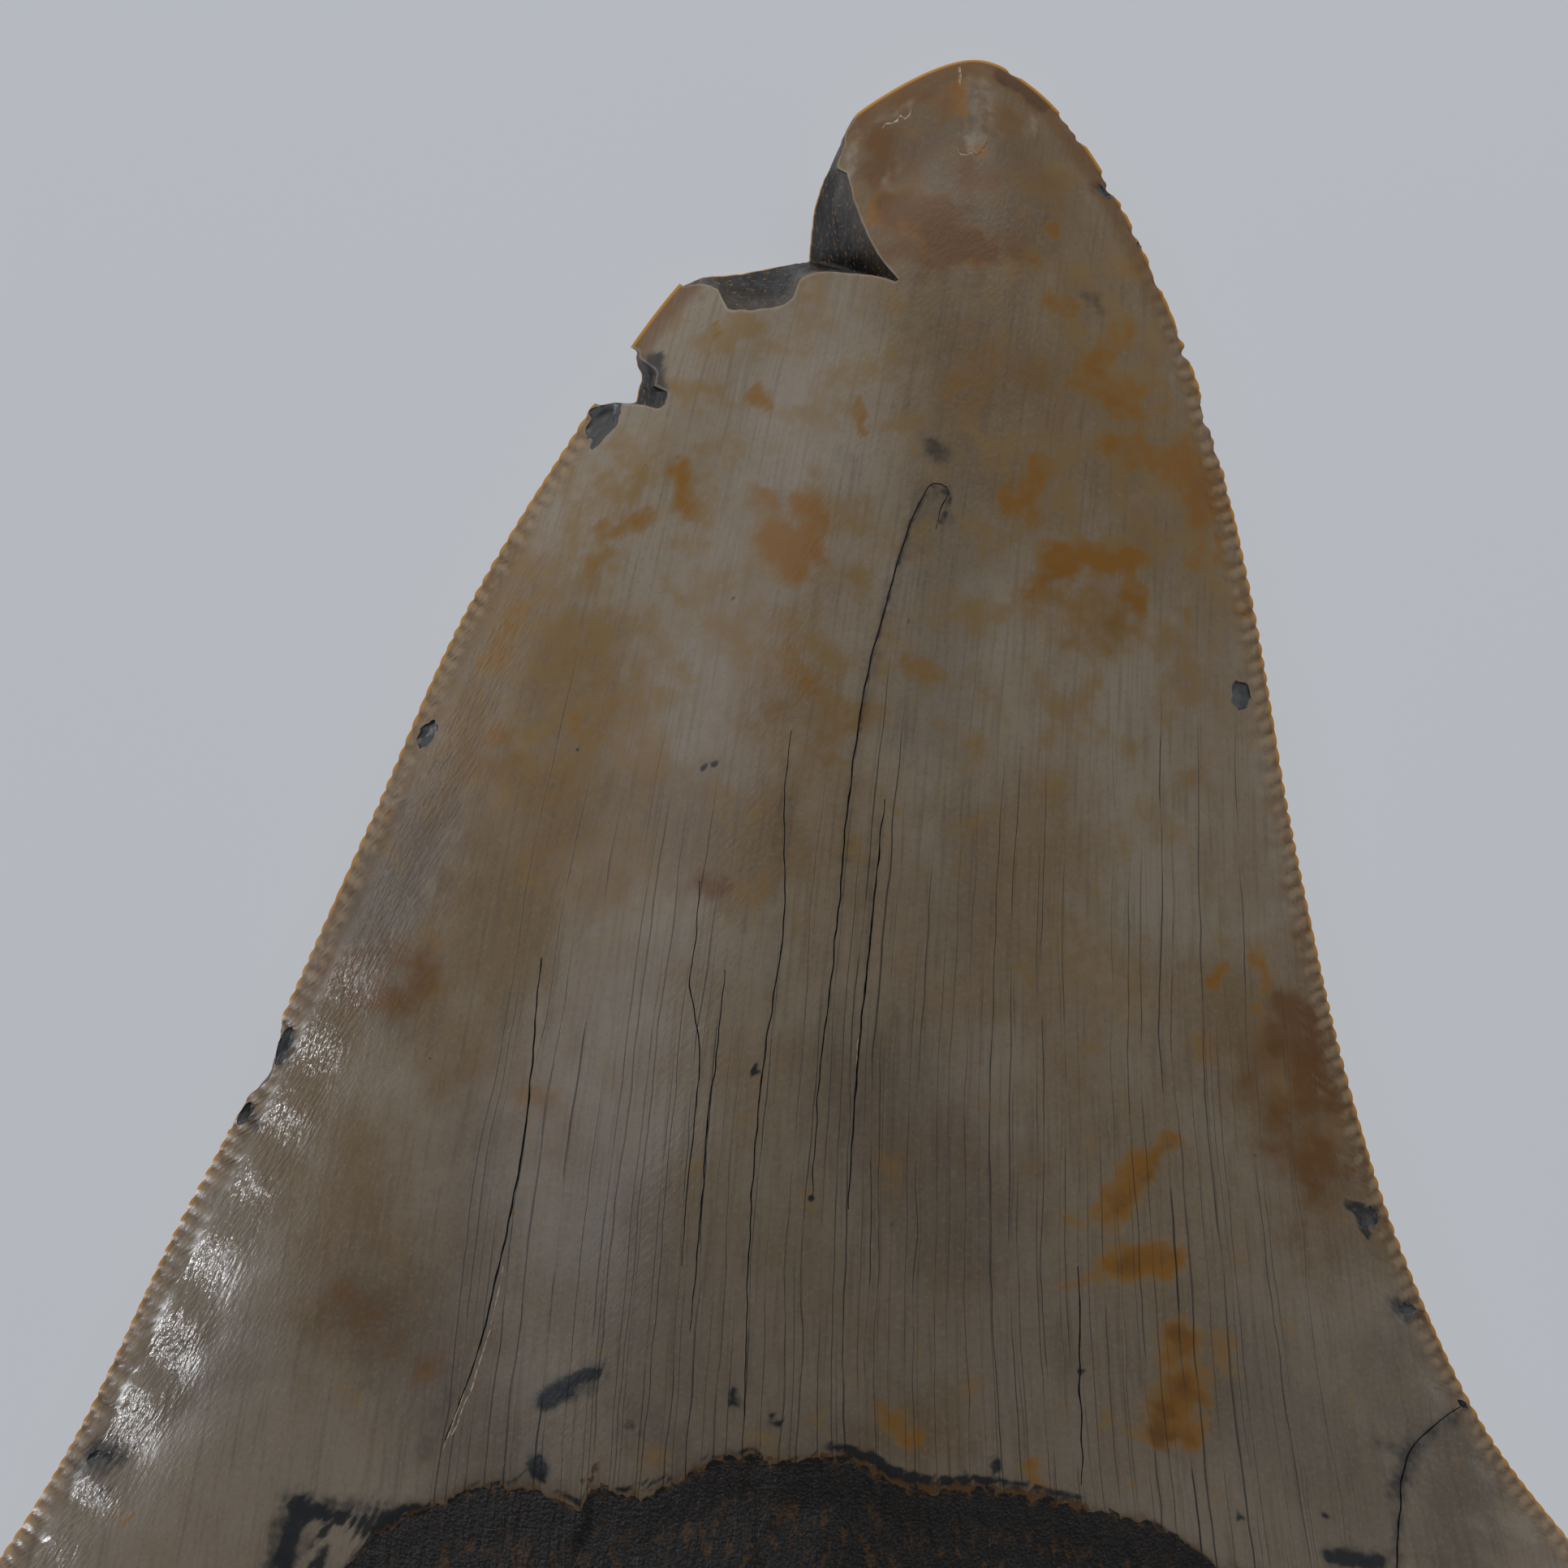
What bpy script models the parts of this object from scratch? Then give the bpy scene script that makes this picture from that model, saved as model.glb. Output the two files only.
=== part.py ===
"""A fossil megalodon tooth, lying on its flat labial face with the convex lingual face up.

Run it with blender --background --python part.py. Lengths below are in millimetres until
the last step, which turns them to metres. X runs across the tooth, +Y points to its tip
and +Z up, out of the lingual face. The origin ends up under the middle of its box.
"""

import bmesh
import bpy
import numpy as np
from mathutils import Matrix, Vector
from mathutils.bvhtree import BVHTree

MM = 0.001

# Driving dimensions of the crown and root, in plan. Each outline point is (x, y), with
# y = 0 about 5 mm below the middle of the enamel's lower edge on the lingual face.
TIP = (8.4, 69.7)
LEFT_SHOULDER = (-42.8, -7.6)
RIGHT_SHOULDER = (43.4, -6.4)
LEFT_LOBE_CORNER = (-40.2, -22.6)
RIGHT_LOBE_CORNER = (41.6, -21.0)
LEFT_CUTTING_EDGE = [
    (-36.6, 0.0), (-32.4, 6.6), (-28.0, 15.7), (-25.4, 20.6), (-22.8, 26.2),
    (-18.8, 35.1), (-14.8, 44.0), (-10.1, 51.8), (-5.4, 58.7), (-0.2, 64.0),
    (4.0, 67.7),
]
RIGHT_CUTTING_EDGE = [
    (37.5, 0.0), (32.1, 6.9), (28.2, 15.3), (25.5, 24.2), (23.2, 35.0),
    (21.6, 44.5), (19.5, 53.4), (16.9, 60.2), (14.2, 65.3), (11.4, 68.5),
]
LEFT_ROOT_SIDE = [(-42.0, -15.8), (-41.8, -9.8)]
RIGHT_ROOT_SIDE = [(43.0, -14.4), (42.6, -8.6)]
ROOT_BASE = [
    (-36.6, -28.9), (-30.6, -33.2), (-23.8, -34.0), (-16.8, -30.6), (-9.6, -25.6),
    (-2.0, -23.0), (5.6, -23.4), (13.0, -27.0), (19.8, -31.6), (26.6, -33.4),
    (33.2, -31.4), (38.4, -26.8),
]

# Heights above the surface that the tooth lies on, along its length. A station is
# (share of the length from root to tip, height).
NECK = 0.22  # share of the length where the crown's cutting edges start
RIM_HEIGHT = [(0, 8.4), (0.1, 8.0), (0.17, 7.2), (NECK, 6.0), (0.3, 5.0), (0.45, 4.5),
              (0.7, 3.5), (0.9, 2.8), (1, 2.7)]
CREST_HEIGHT = [(0, 20.5), (0.2, 20.2), (0.27, 19.0), (0.34, 18.0), (0.45, 16.4),
                (0.58, 13.9), (0.7, 11.3), (0.82, 8.6), (0.91, 6.4), (0.97, 4.4), (1, 2.7)]
TROUGH_HEIGHT = [(0, -0.6), (0.5, -0.6), (0.66, -0.2), (0.8, 0.3), (0.93, 0.9), (1, 2.7)]
ROOT_SHELF = 7.2  # rise of the lobes' lingual face above their side
ROOT_BOSS = 6.4  # rise of the middle of the root above the lobes
BOSS_HALF_WIDTH = 0.34  # as a share of half the root's width
ROOT_TO_CROWN = (0.17, 0.36)  # shares of the length where the root's form fades out
BASE_ROUNDING = 0.085  # share of the length over which the root's end is rounded
ARCH_REACH = 0.45  # share of the length where the root's arch stops bending the rows
CROWN_FULLNESS = 2.0
LABIAL_FULLNESS = 3.0
ROOT_FULLNESS = 4.0
BAND_DEPTH = 0.6  # of the bare band between the enamel's foot and the root
BAND_HEIGHT = 7.6  # in the middle of the tooth
BAND_HALF_LENGTH = 39.0
ENAMEL_FOOT = (1.3, 4.9)  # the highest point of the enamel's lower edge, in plan
ENAMEL_FOOT_FALL, ENAMEL_FOOT_BEND = 0.0957, 1.317  # how it falls away to both sides
ENAMEL_BLEND, ROOT_BLEND = 1.0, 1.6  # half widths of the band's soft upper and lower edges

# The mesh
COLUMNS = 20  # on each face
ROOT_ROWS = 16
CROWN_ROWS = 62
SERRATIONS_PER_ROW = 2
SERRATION_DEPTH = 0.13
SERRATED_SHARE = (0.005, 0.9)  # of each cutting edge, from its shoulder to the tip
SERRATION_FADES = (0.03, 0.08)  # shares of the edge over which they start and end
RIM_BAND = 1.1  # width of the serrated band beside each cutting edge
SPLINE_STEPS = 24
ROOT_ROW_CROWDING = 1.5  # above 1, the rows lie closer towards the root's rounded end
WELD_DISTANCE = 0.002
GRID_TOLERANCE = 0.01  # in columns or rows of the flat grid
TINY = 1e-6
SHARP_ANGLE = 40  # degrees

# Breaks in the cutting edge. A break's wall leans from its foot, a line on the labial
# face, to its head, the same points on the lingual face.
FLAKE_BOTTOM, FLAKE_TOP = -1.0, 8.5
LEAST_RISE = 3.0  # from foot to head, where the tooth is too thin to set the wall's lean
FLAKES = {
    "tip_flake": {
        "foot": [(3.9, 67.7), (2.7, 66.2), (2.1, 64.9), (1.5, 63.3), (1.2, 61.8), (1.0, 60.4),
                 (0.1, 60.2), (-0.9, 60.0), (-2.5, 59.6), (-3.9, 59.35), (-5.3, 58.9)],
        "head": [(4.1, 67.4), (3.1, 66.1), (2.9, 64.8), (3.3, 62.8), (4.1, 61.2), (5.2, 59.6),
                 (0.7, 59.8), (-0.2, 58.6), (-2.4, 58.3), (-3.9, 58.6), (-5.2, 58.7)],
        "outside": [(-9.5, 60.5), (-5.0, 68.5), (1.0, 70.5)],
    },
    "edge_notch": {
        "foot": [(-7.5, 57.0), (-6.8, 56.2), (-6.7, 55.0), (-6.6, 53.8), (-8.6, 53.8)],
        "head": [(-7.2, 57.0), (-6.2, 56.3), (-5.6, 55.5), (-5.3, 53.7), (-8.5, 53.6)],
        "outside": [(-11.5, 55.0), (-9.5, 57.5)],
    },
    "edge_bite": {
        "foot": [(-23.0, 26.3), (-23.35, 24.7), (-23.5, 23.2), (-24.9, 22.2)],
        "head": [(-22.8, 26.1), (-22.6, 24.7), (-22.8, 23.0), (-24.5, 22.0)],
        "outside": [(-27.5, 22.5), (-26.0, 26.5)],
    },
}
# Small chips, each a shallow bite of a ball whose middle is off the lingual face by
# CHIP_LIFT of its radius: (x, y, radius)
CHIPS = {
    "left_upper_chip": (-8.3, 52.7, 2.0),
    "left_middle_chip": (-16.4, 38.4, 1.5),
    "left_lower_chip": (-31.9, 5.9, 2.2),
    "right_upper_chip": (21.1, 40.3, 1.6),
    "right_lower_chip": (27.0, 16.4, 1.9),
}
CHIP_LIFT = 0.8
FORAMEN = (0.8, -11.2)  # the nutrient pit in the middle of the root
FORAMEN_RADIUS, FORAMEN_DEPTH = 0.8, 2.0
FORAMEN_TAPER, FORAMEN_SIDES = 0.6, 12
FAR_OFF = 100  # where a ray starts that looks for the lingual or the labial face

ENAMEL_COLOUR = (0.20, 0.165, 0.12)  # linear
ENAMEL_ROUGHNESS = 0.32


def clear_scene():
    for obj in list(bpy.data.objects):
        bpy.data.objects.remove(obj, do_unlink=True)


def smooth_loop(points):
    """Points along a closed Catmull-Rom curve, SPLINE_STEPS to each span."""
    here = np.array(points, float)
    a, b, c, d = (np.roll(here, shift, 0)[:, None, :] for shift in (1, 0, -1, -2))
    t = np.linspace(0, 1, SPLINE_STEPS, endpoint=False)[None, :, None]
    spans = b + 0.5 * t * (c - a + t * (2 * a - 5 * b + 4 * c - d + t * (3 * (b - c) + d - a)))
    return spans.reshape(-1, 2)


def walk(line):
    """A function from a share of the line's length, 0 to 1, to the point there."""
    steps = np.linalg.norm(np.diff(line, axis=0), axis=1)
    share = np.concatenate([[0], np.cumsum(steps)]) / steps.sum()
    return lambda s: np.stack([np.interp(s, share, line[:, k]) for k in (0, 1)], -1)


def outline_walks():
    """The walks along the root's base, left to right, and up each side in two stretches."""
    left = [LEFT_LOBE_CORNER, *LEFT_ROOT_SIDE, LEFT_SHOULDER, *LEFT_CUTTING_EDGE]
    right = [RIGHT_LOBE_CORNER, *RIGHT_ROOT_SIDE, RIGHT_SHOULDER, *RIGHT_CUTTING_EDGE]
    loop_points = [*left, TIP, *reversed(right), *reversed(ROOT_BASE)]
    loop = smooth_loop(loop_points)

    def stretch(start, end):
        first = loop_points.index(start) * SPLINE_STEPS
        last = loop_points.index(end) * SPLINE_STEPS
        return np.take(loop, range(first, last + (len(loop) if last < first else 0) + 1),
                       axis=0, mode="wrap")

    return {
        "base": walk(stretch(RIGHT_LOBE_CORNER, LEFT_LOBE_CORNER)[::-1]),
        "left_root": walk(stretch(LEFT_LOBE_CORNER, LEFT_SHOULDER)),
        "left_crown": walk(stretch(LEFT_SHOULDER, TIP)),
        "right_root": walk(stretch(RIGHT_SHOULDER, RIGHT_LOBE_CORNER)[::-1]),
        "right_crown": walk(stretch(TIP, RIGHT_SHOULDER)[::-1]),
    }


WALKS = outline_walks()


def smooth_between(value, low, high):
    t = np.clip((value - low) / (high - low), 0, 1)
    return t * t * (3 - 2 * t)


def at_stations(stations, v):
    """A smooth curve through the stations, with each slope set by its neighbours."""
    where, height = np.array(stations, float).T
    slope = np.gradient(height, where)
    k = np.clip(np.searchsorted(where, v) - 1, 0, len(where) - 2)
    width = where[k + 1] - where[k]
    t = (v - where[k]) / width
    start, end = height[k], height[k + 1]
    bend = t * (1 - t) * width * (slope[k] * (1 - t) - slope[k + 1] * t)
    return start + (end - start) * t * t * (3 - 2 * t) + bend


def side(name, v):
    """The point on the left or right outline at share v of the tooth's length."""
    in_root = WALKS[name + "_root"](np.minimum(v / NECK, 1))
    in_crown = WALKS[name + "_crown"](np.maximum((v - NECK) / (1 - NECK), 0))
    return np.where((v < NECK)[:, None], in_root, in_crown)


def plan(u, v):
    """The point in plan: u runs from the left edge, -1, to the right edge, 1."""
    s = ((u + 1) / 2)[:, None]
    across = side("left", v) * (1 - s) + side("right", v) * s
    start = WALKS["base"](0.0) * (1 - s) + WALKS["base"](1.0) * s
    fade = np.clip(1 - v / ARCH_REACH, 0, 1) ** 2
    return across + fade[:, None] * (WALKS["base"]((u + 1) / 2) - start)


def base_rounding(v):
    left = np.clip(1 - v / BASE_ROUNDING, 0, 1)
    return np.sqrt(1 - left**2)


def enamel_edge(x):
    """How far up the tooth the enamel starts on the lingual face, a rounded chevron."""
    middle, top = ENAMEL_FOOT
    return top - ENAMEL_FOOT_FALL * np.abs(x - middle) ** ENAMEL_FOOT_BEND


def bare_band(xy):
    """1 inside the band between enamel and root on the lingual face, 0 outside it."""
    x, y = xy.T
    height = BAND_HEIGHT * np.clip(1 - (x / BAND_HALF_LENGTH) ** 2, 0, 1)
    above_enamel = smooth_between(y - enamel_edge(x), -ENAMEL_BLEND, ENAMEL_BLEND)
    above_root = smooth_between(y - enamel_edge(x) + height, -ROOT_BLEND, ROOT_BLEND)
    return above_root * (1 - above_enamel)


def lingual_height(u, v, xy):
    rim = at_stations(RIM_HEIGHT, v)
    lobes = ROOT_SHELF * np.sqrt(1 - np.abs(u) ** ROOT_FULLNESS)
    boss = ROOT_BOSS * np.exp(-((u / BOSS_HALF_WIDTH) ** 2)) * (1 - u**2)
    crown = (at_stations(CREST_HEIGHT, v) - rim) * (1 - np.abs(u) ** CROWN_FULLNESS)
    mix = smooth_between(v, *ROOT_TO_CROWN)
    groove = BAND_DEPTH * bare_band(xy) * (1 - u**2)
    return rim + (lobes + boss) * base_rounding(v) * (1 - mix) + crown * mix - groove


def labial_height(u, v):
    """The underside. It is clipped at 0, where it lies flat on the surface below."""
    rim = at_stations(RIM_HEIGHT, v)
    root = np.sqrt(1 - np.abs(u) ** ROOT_FULLNESS) * base_rounding(v)
    crown = 1 - np.abs(u) ** LABIAL_FULLNESS
    mix = smooth_between(v, *ROOT_TO_CROWN)
    depth = (rim - at_stations(TROUGH_HEIGHT, v)) * (root * (1 - mix) + crown * mix)
    return np.maximum(rim - depth, 0)


def serration_depth(v):
    """How far the cutting edge is notched in at share v, in plan."""
    crown = (v - NECK) / (1 - NECK)
    start, end = SERRATED_SHARE
    fade_in, fade_out = SERRATION_FADES
    started = smooth_between(crown, start, start + fade_in)
    ended = smooth_between(crown, end - fade_out, end)
    wave = 0.5 - 0.5 * np.cos(2 * np.pi * crown * CROWN_ROWS * SERRATIONS_PER_ROW)
    return SERRATION_DEPTH * started * (1 - ended) * wave


def column_share(place, half_width):
    """u for a column's place, -1 to 1, with the column beside each edge RIM_BAND wide."""
    inner = 1 - np.minimum(RIM_BAND / half_width, 2 / COLUMNS)
    last = 1 - 2 / COLUMNS
    inside = np.clip(np.abs(place) / last, 0, 1) * inner
    in_band = inner + (np.abs(place) - last) / (1 - last) * (1 - inner)
    return np.sign(place) * np.where(np.abs(place) > last, in_band, inside)


def row_share(row):
    """v for a row's place: close rows at the root's rounded end and at the blunt tip."""
    root = NECK * np.clip(row / ROOT_ROWS, 0, 1) ** ROOT_ROW_CROWDING
    crown = NECK + (1 - NECK) * (row - ROOT_ROWS) / CROWN_ROWS
    return np.where(row < ROOT_ROWS, root, crown)


def tooth_grid():
    """A flat grid that stands for both faces, with its serrated edges cut finer.

    Its x runs over the lingual face from 0 to COLUMNS, then over the labial face and
    back to the left edge, and its y counts the rows.
    """
    rows = ROOT_ROWS + CROWN_ROWS
    bm = bmesh.new()
    bmesh.ops.create_grid(bm, x_segments=2 * COLUMNS, y_segments=rows, size=0.5)
    bmesh.ops.translate(bm, verts=bm.verts, vec=(0.5, 0.5, 0))
    bmesh.ops.scale(bm, verts=bm.verts, vec=(2 * COLUMNS, rows, 1))
    rims = (0, COLUMNS, 2 * COLUMNS)
    edges = [
        edge for edge in bm.edges
        if abs(edge.verts[0].co.x - edge.verts[1].co.x) < GRID_TOLERANCE
        and min(abs(edge.verts[0].co.x - rim) for rim in rims) < 1 + GRID_TOLERANCE
        and min(v.co.y for v in edge.verts) > ROOT_ROWS - GRID_TOLERANCE
    ]
    bmesh.ops.subdivide_edges(bm, edges=edges, cuts=2 * SERRATIONS_PER_ROW - 1, use_grid_fill=True)
    return bm


def shape_tooth(bm):
    """Bends the flat grid into the tooth and welds its seams."""
    grid = np.array([v.co for v in bm.verts])
    v = row_share(grid[:, 1])
    lingual = grid[:, 0] <= COLUMNS + GRID_TOLERANCE
    place = np.where(lingual, grid[:, 0], 2 * COLUMNS - grid[:, 0]) * 2 / COLUMNS - 1
    half_width = np.linalg.norm(side("right", v) - side("left", v), axis=1) / 2 + TINY
    u = np.clip(column_share(np.clip(place, -1, 1), half_width), -1, 1)
    xy = plan(u, v)
    height = np.where(lingual, lingual_height(u, v, xy), labial_height(u, v))
    at_edge = np.abs(u) > 1 - TINY
    height = np.where(at_edge, at_stations(RIM_HEIGHT, v), height)
    xy[:, 0] -= np.sign(u) * serration_depth(v) * at_edge
    for vert, (x, y), z in zip(bm.verts, xy, height):
        vert.co = (x, y, z)
    bmesh.ops.remove_doubles(bm, verts=bm.verts, dist=WELD_DISTANCE)
    bmesh.ops.recalc_face_normals(bm, faces=bm.faces)
    if bm.calc_volume(signed=True) < 0:
        bmesh.ops.reverse_faces(bm, faces=bm.faces)


def cutter_object(name, bm, collection):
    bmesh.ops.recalc_face_normals(bm, faces=bm.faces)
    mesh = bpy.data.meshes.new(name)
    bm.to_mesh(mesh)
    bm.free()
    cutter = bpy.data.objects.new(name, mesh)
    cutter.hide_render = True
    cutter.display_type = "WIRE"
    collection.objects.link(cutter)
    return cutter


def face_height(surface, place, from_above):
    """The height of the lingual or labial face at a place in plan."""
    start = Vector((*place, FAR_OFF if from_above else -FAR_OFF))
    hit = surface.ray_cast(start, Vector((0, 0, -1 if from_above else 1)))[0]
    return hit.z if hit else RIM_HEIGHT[-1][1]


def flake_cutter(name, flake, surface, collection):
    """A block beside the edge, whose inner wall leans from the foot line to the head line."""
    line = []
    for foot, head in zip(flake["foot"], flake["head"]):
        low = face_height(surface, foot, False)
        rise = max(face_height(surface, head, True) - low, LEAST_RISE)
        lean = Vector((head[0] - foot[0], head[1] - foot[1], rise)) / rise
        line.append([Vector((*foot, low)) + lean * (z - low) for z in (FLAKE_BOTTOM, FLAKE_TOP)])
    line += [[Vector((x, y, FLAKE_BOTTOM)), Vector((x, y, FLAKE_TOP))] for x, y in flake["outside"]]
    bm = bmesh.new()
    base = bm.faces.new([bm.verts.new(low) for low, high in line])
    raised = bmesh.ops.extrude_face_region(bm, geom=[base])["geom"]
    for vert in raised:
        if isinstance(vert, bmesh.types.BMVert):
            vert.co = min(line, key=lambda ends: (ends[0] - vert.co).length)[1]
    return cutter_object(name, bm, collection)


def chip_cutter(name, place, radius, surface, collection):
    middle = Vector((*place, face_height(surface, place, True) + CHIP_LIFT * radius))
    bm = bmesh.new()
    bmesh.ops.create_icosphere(bm, subdivisions=3, radius=radius, matrix=Matrix.Translation(middle))
    return cutter_object(name, bm, collection)


def foramen_cutter(surface, collection):
    bm = bmesh.new()
    middle = Vector((*FORAMEN, face_height(surface, FORAMEN, True)))
    bmesh.ops.create_cone(bm, cap_ends=True, segments=FORAMEN_SIDES, depth=2 * FORAMEN_DEPTH,
                          radius1=FORAMEN_TAPER * FORAMEN_RADIUS, radius2=FORAMEN_RADIUS,
                          matrix=Matrix.Translation(middle))
    return cutter_object("foramen", bm, collection)


def fossil_material():
    """Polished enamel the colour of weathered bone."""
    material = bpy.data.materials.new("fossil_enamel")
    material.use_nodes = True
    shader = material.node_tree.nodes["Principled BSDF"]
    shader.inputs["Base Color"].default_value = (*ENAMEL_COLOUR, 1)
    shader.inputs["Roughness"].default_value = ENAMEL_ROUGHNESS
    shader.inputs["Metallic"].default_value = 0
    return material


def cut(tooth, cutters):
    """Bites each cutter out of the tooth and keeps the result as the tooth's own mesh."""
    for cutter in cutters:
        bite = tooth.modifiers.new(cutter.name, "BOOLEAN")
        bite.operation = "DIFFERENCE"
        bite.solver = "EXACT"
        bite.object = cutter
    graph = bpy.context.evaluated_depsgraph_get()
    bitten = bpy.data.meshes.new_from_object(tooth.evaluated_get(graph), depsgraph=graph)
    tooth.modifiers.clear()
    tooth.data = bitten


def settle(tooth):
    """Turns millimetres to metres and puts the origin under the middle of the box."""
    corners = np.array([v.co for v in tooth.data.vertices])
    low, high = corners.min(axis=0), corners.max(axis=0)
    middle = (low + high) / 2
    tooth.data.transform(Matrix.Translation((-middle[0], -middle[1], -low[2])))
    tooth.data.transform(Matrix.Scale(MM, 4))
    for cutter in bpy.data.collections["tooth_cutters"].objects:
        cutter.data.transform(Matrix.Translation((-middle[0], -middle[1], -low[2])))
        cutter.data.transform(Matrix.Scale(MM, 4))


def build():
    clear_scene()
    parts = bpy.data.collections.new("megalodon_tooth")
    cutting = bpy.data.collections.new("tooth_cutters")
    for collection in (parts, cutting):
        bpy.context.scene.collection.children.link(collection)

    bm = tooth_grid()
    shape_tooth(bm)
    surface = BVHTree.FromBMesh(bm)
    mesh = bpy.data.meshes.new("tooth")
    bm.to_mesh(mesh)
    bm.free()
    tooth = bpy.data.objects.new("tooth", mesh)
    parts.objects.link(tooth)

    cutters = [flake_cutter(name, flake, surface, cutting) for name, flake in FLAKES.items()]
    for name, (x, y, radius) in CHIPS.items():
        cutters.append(chip_cutter(name, (x, y), radius, surface, cutting))
    cutters.append(foramen_cutter(surface, cutting))
    cut(tooth, cutters)
    settle(tooth)
    tooth.data.materials.clear()
    tooth.data.materials.append(fossil_material())
    tooth.data.shade_smooth()
    tooth.data.set_sharp_from_angle(angle=np.radians(SHARP_ANGLE))


build()
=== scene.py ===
"""A fossil megalodon tooth, lying on its flat labial face and seen from straight above.

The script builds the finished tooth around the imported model. Lengths are in millimetres and
in the plan frame of the part's source until a mesh is done: X runs across the tooth, +Y
points to its tip and +Z up, out of the convex lingual face. Places of single marks are
given in the photo's pixels, as the camera sees them.
"""

import bmesh
import bpy
import numpy as np
from bpy.props import FloatProperty, FloatVectorProperty, PointerProperty
from mathutils import Matrix, Vector, kdtree, noise
from mathutils.bvhtree import BVHTree


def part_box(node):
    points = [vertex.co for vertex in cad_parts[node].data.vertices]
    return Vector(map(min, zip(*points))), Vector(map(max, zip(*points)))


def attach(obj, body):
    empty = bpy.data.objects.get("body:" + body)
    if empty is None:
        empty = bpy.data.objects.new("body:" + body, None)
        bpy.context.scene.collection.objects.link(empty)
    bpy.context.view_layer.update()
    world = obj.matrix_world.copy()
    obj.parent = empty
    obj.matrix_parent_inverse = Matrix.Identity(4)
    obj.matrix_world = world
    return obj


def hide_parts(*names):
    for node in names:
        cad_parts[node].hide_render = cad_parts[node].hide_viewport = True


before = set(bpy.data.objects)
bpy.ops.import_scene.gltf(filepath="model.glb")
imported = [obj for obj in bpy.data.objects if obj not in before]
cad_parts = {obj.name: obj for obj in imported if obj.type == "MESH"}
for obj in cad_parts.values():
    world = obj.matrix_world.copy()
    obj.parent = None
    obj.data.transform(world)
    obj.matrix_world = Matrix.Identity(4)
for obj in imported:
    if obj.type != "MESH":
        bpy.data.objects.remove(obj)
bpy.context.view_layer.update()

bl_info = {
    "name": "Fossil Megalodon Tooth",
    "version": (1, 0, 0),
    "blender": (4, 5, 0),
    "location": "View3D > Sidebar > Fossil",
    "description": "Builds a serrated fossil tooth with its breaks, stains and studio stage",
    "category": "Add Mesh",
}

MM = 0.001
TOOTH_NODE = "tooth"

# The photo and the camera that took it
PHOTO_PIXELS = 1932
PHOTO_MIDDLE = PHOTO_PIXELS / 2
MM_PER_PIXEL = 0.0372  # at the height of the cutting edges
PHOTO_ZERO_ROW = 1944  # the pixel row that y = 0 of the plan frame falls on
PLAN_TO_FRAME = (-0.3, -17.897)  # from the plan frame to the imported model's frame
VIEW_CENTRE = (0.0, (PHOTO_ZERO_ROW - PHOTO_MIDDLE) * MM_PER_PIXEL)
EDGE_HEIGHT = 4.0  # of the cutting edges, above the floor
CAMERA_DISTANCE = 300.0  # above the cutting edges
SENSOR_WIDTH = 36.0
CLIPPED = (0.01, 10)  # metres from the camera
BACKDROP_LEVEL = 0.6  # how bright the room's walls look behind the floor
ROOM_TONE = "e9edf3"
FLOOR_REACH = 1.5  # metres
# Soft lights: place over the photo's middle, width and height in metres, and tone
SOFTBOXES = {
    "key": ((-0.600, 0.135, 0.026), 0.086, 0.034, "f6f9ff"),
    "sheen": ((-0.256, 0.215, 0.372), 0.24, 0.24, "e6efff"),
    "back": ((0.06, 0.42, 0.29), 0.50, 0.25, "fffaf2"),
}

# Driving dimensions of the crown and root in plan, the same as in the part's source
TIP = (8.4, 69.7)
LEFT_SHOULDER = (-42.8, -7.6)
RIGHT_SHOULDER = (43.4, -6.4)
LEFT_LOBE_CORNER = (-40.2, -22.6)
RIGHT_LOBE_CORNER = (41.6, -21.0)
LEFT_CUTTING_EDGE = [
    (-36.6, 0.0), (-32.4, 6.6), (-28.0, 15.7), (-25.4, 20.6), (-22.8, 26.2),
    (-18.8, 35.1), (-14.8, 44.0), (-10.1, 51.8), (-5.4, 58.7), (-0.2, 64.0),
    (4.0, 67.7),
]
RIGHT_CUTTING_EDGE = [
    (37.5, 0.0), (32.1, 6.9), (28.2, 15.3), (25.5, 24.2), (23.2, 35.0),
    (21.6, 44.5), (19.5, 53.4), (16.9, 60.2), (14.2, 65.3), (11.4, 68.5),
]
LEFT_ROOT_SIDE = [(-42.0, -15.8), (-41.8, -9.8)]
RIGHT_ROOT_SIDE = [(43.0, -14.4), (42.6, -8.6)]
ROOT_BASE = [
    (-36.6, -28.9), (-30.6, -33.2), (-23.8, -34.0), (-16.8, -30.6), (-9.6, -25.6),
    (-2.0, -23.0), (5.6, -23.4), (13.0, -27.0), (19.8, -31.6), (26.6, -33.4),
    (33.2, -31.4), (38.4, -26.8),
]
NECK = 0.22
RIM_HEIGHT = [(0, 8.4), (0.1, 8.0), (0.17, 7.2), (NECK, 6.0), (0.3, 5.0), (0.45, 4.5),
              (0.7, 3.5), (0.9, 2.8), (1, 2.7)]
CREST_HEIGHT = [(0, 20.5), (0.2, 20.2), (0.27, 19.0), (0.34, 18.0), (0.45, 16.4),
                (0.58, 13.9), (0.7, 11.3), (0.82, 8.6), (0.91, 6.4), (0.97, 4.4), (1, 2.7)]
TROUGH_HEIGHT = [(0, -0.6), (0.5, -0.6), (0.66, -0.2), (0.8, 0.3), (0.93, 0.9), (1, 2.7)]
ROOT_SHELF = 7.2
ROOT_BOSS = 6.4
BOSS_HALF_WIDTH = 0.34
ROOT_TO_CROWN = (0.17, 0.36)
BASE_ROUNDING = 0.085
ARCH_REACH = 0.45
CROWN_FULLNESS = 2.0
LABIAL_FULLNESS = 3.0
ROOT_FULLNESS = 4.0
BAND_DEPTH = 0.6
BAND_HEIGHT = 7.6
BAND_HALF_LENGTH = 39.0
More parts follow.
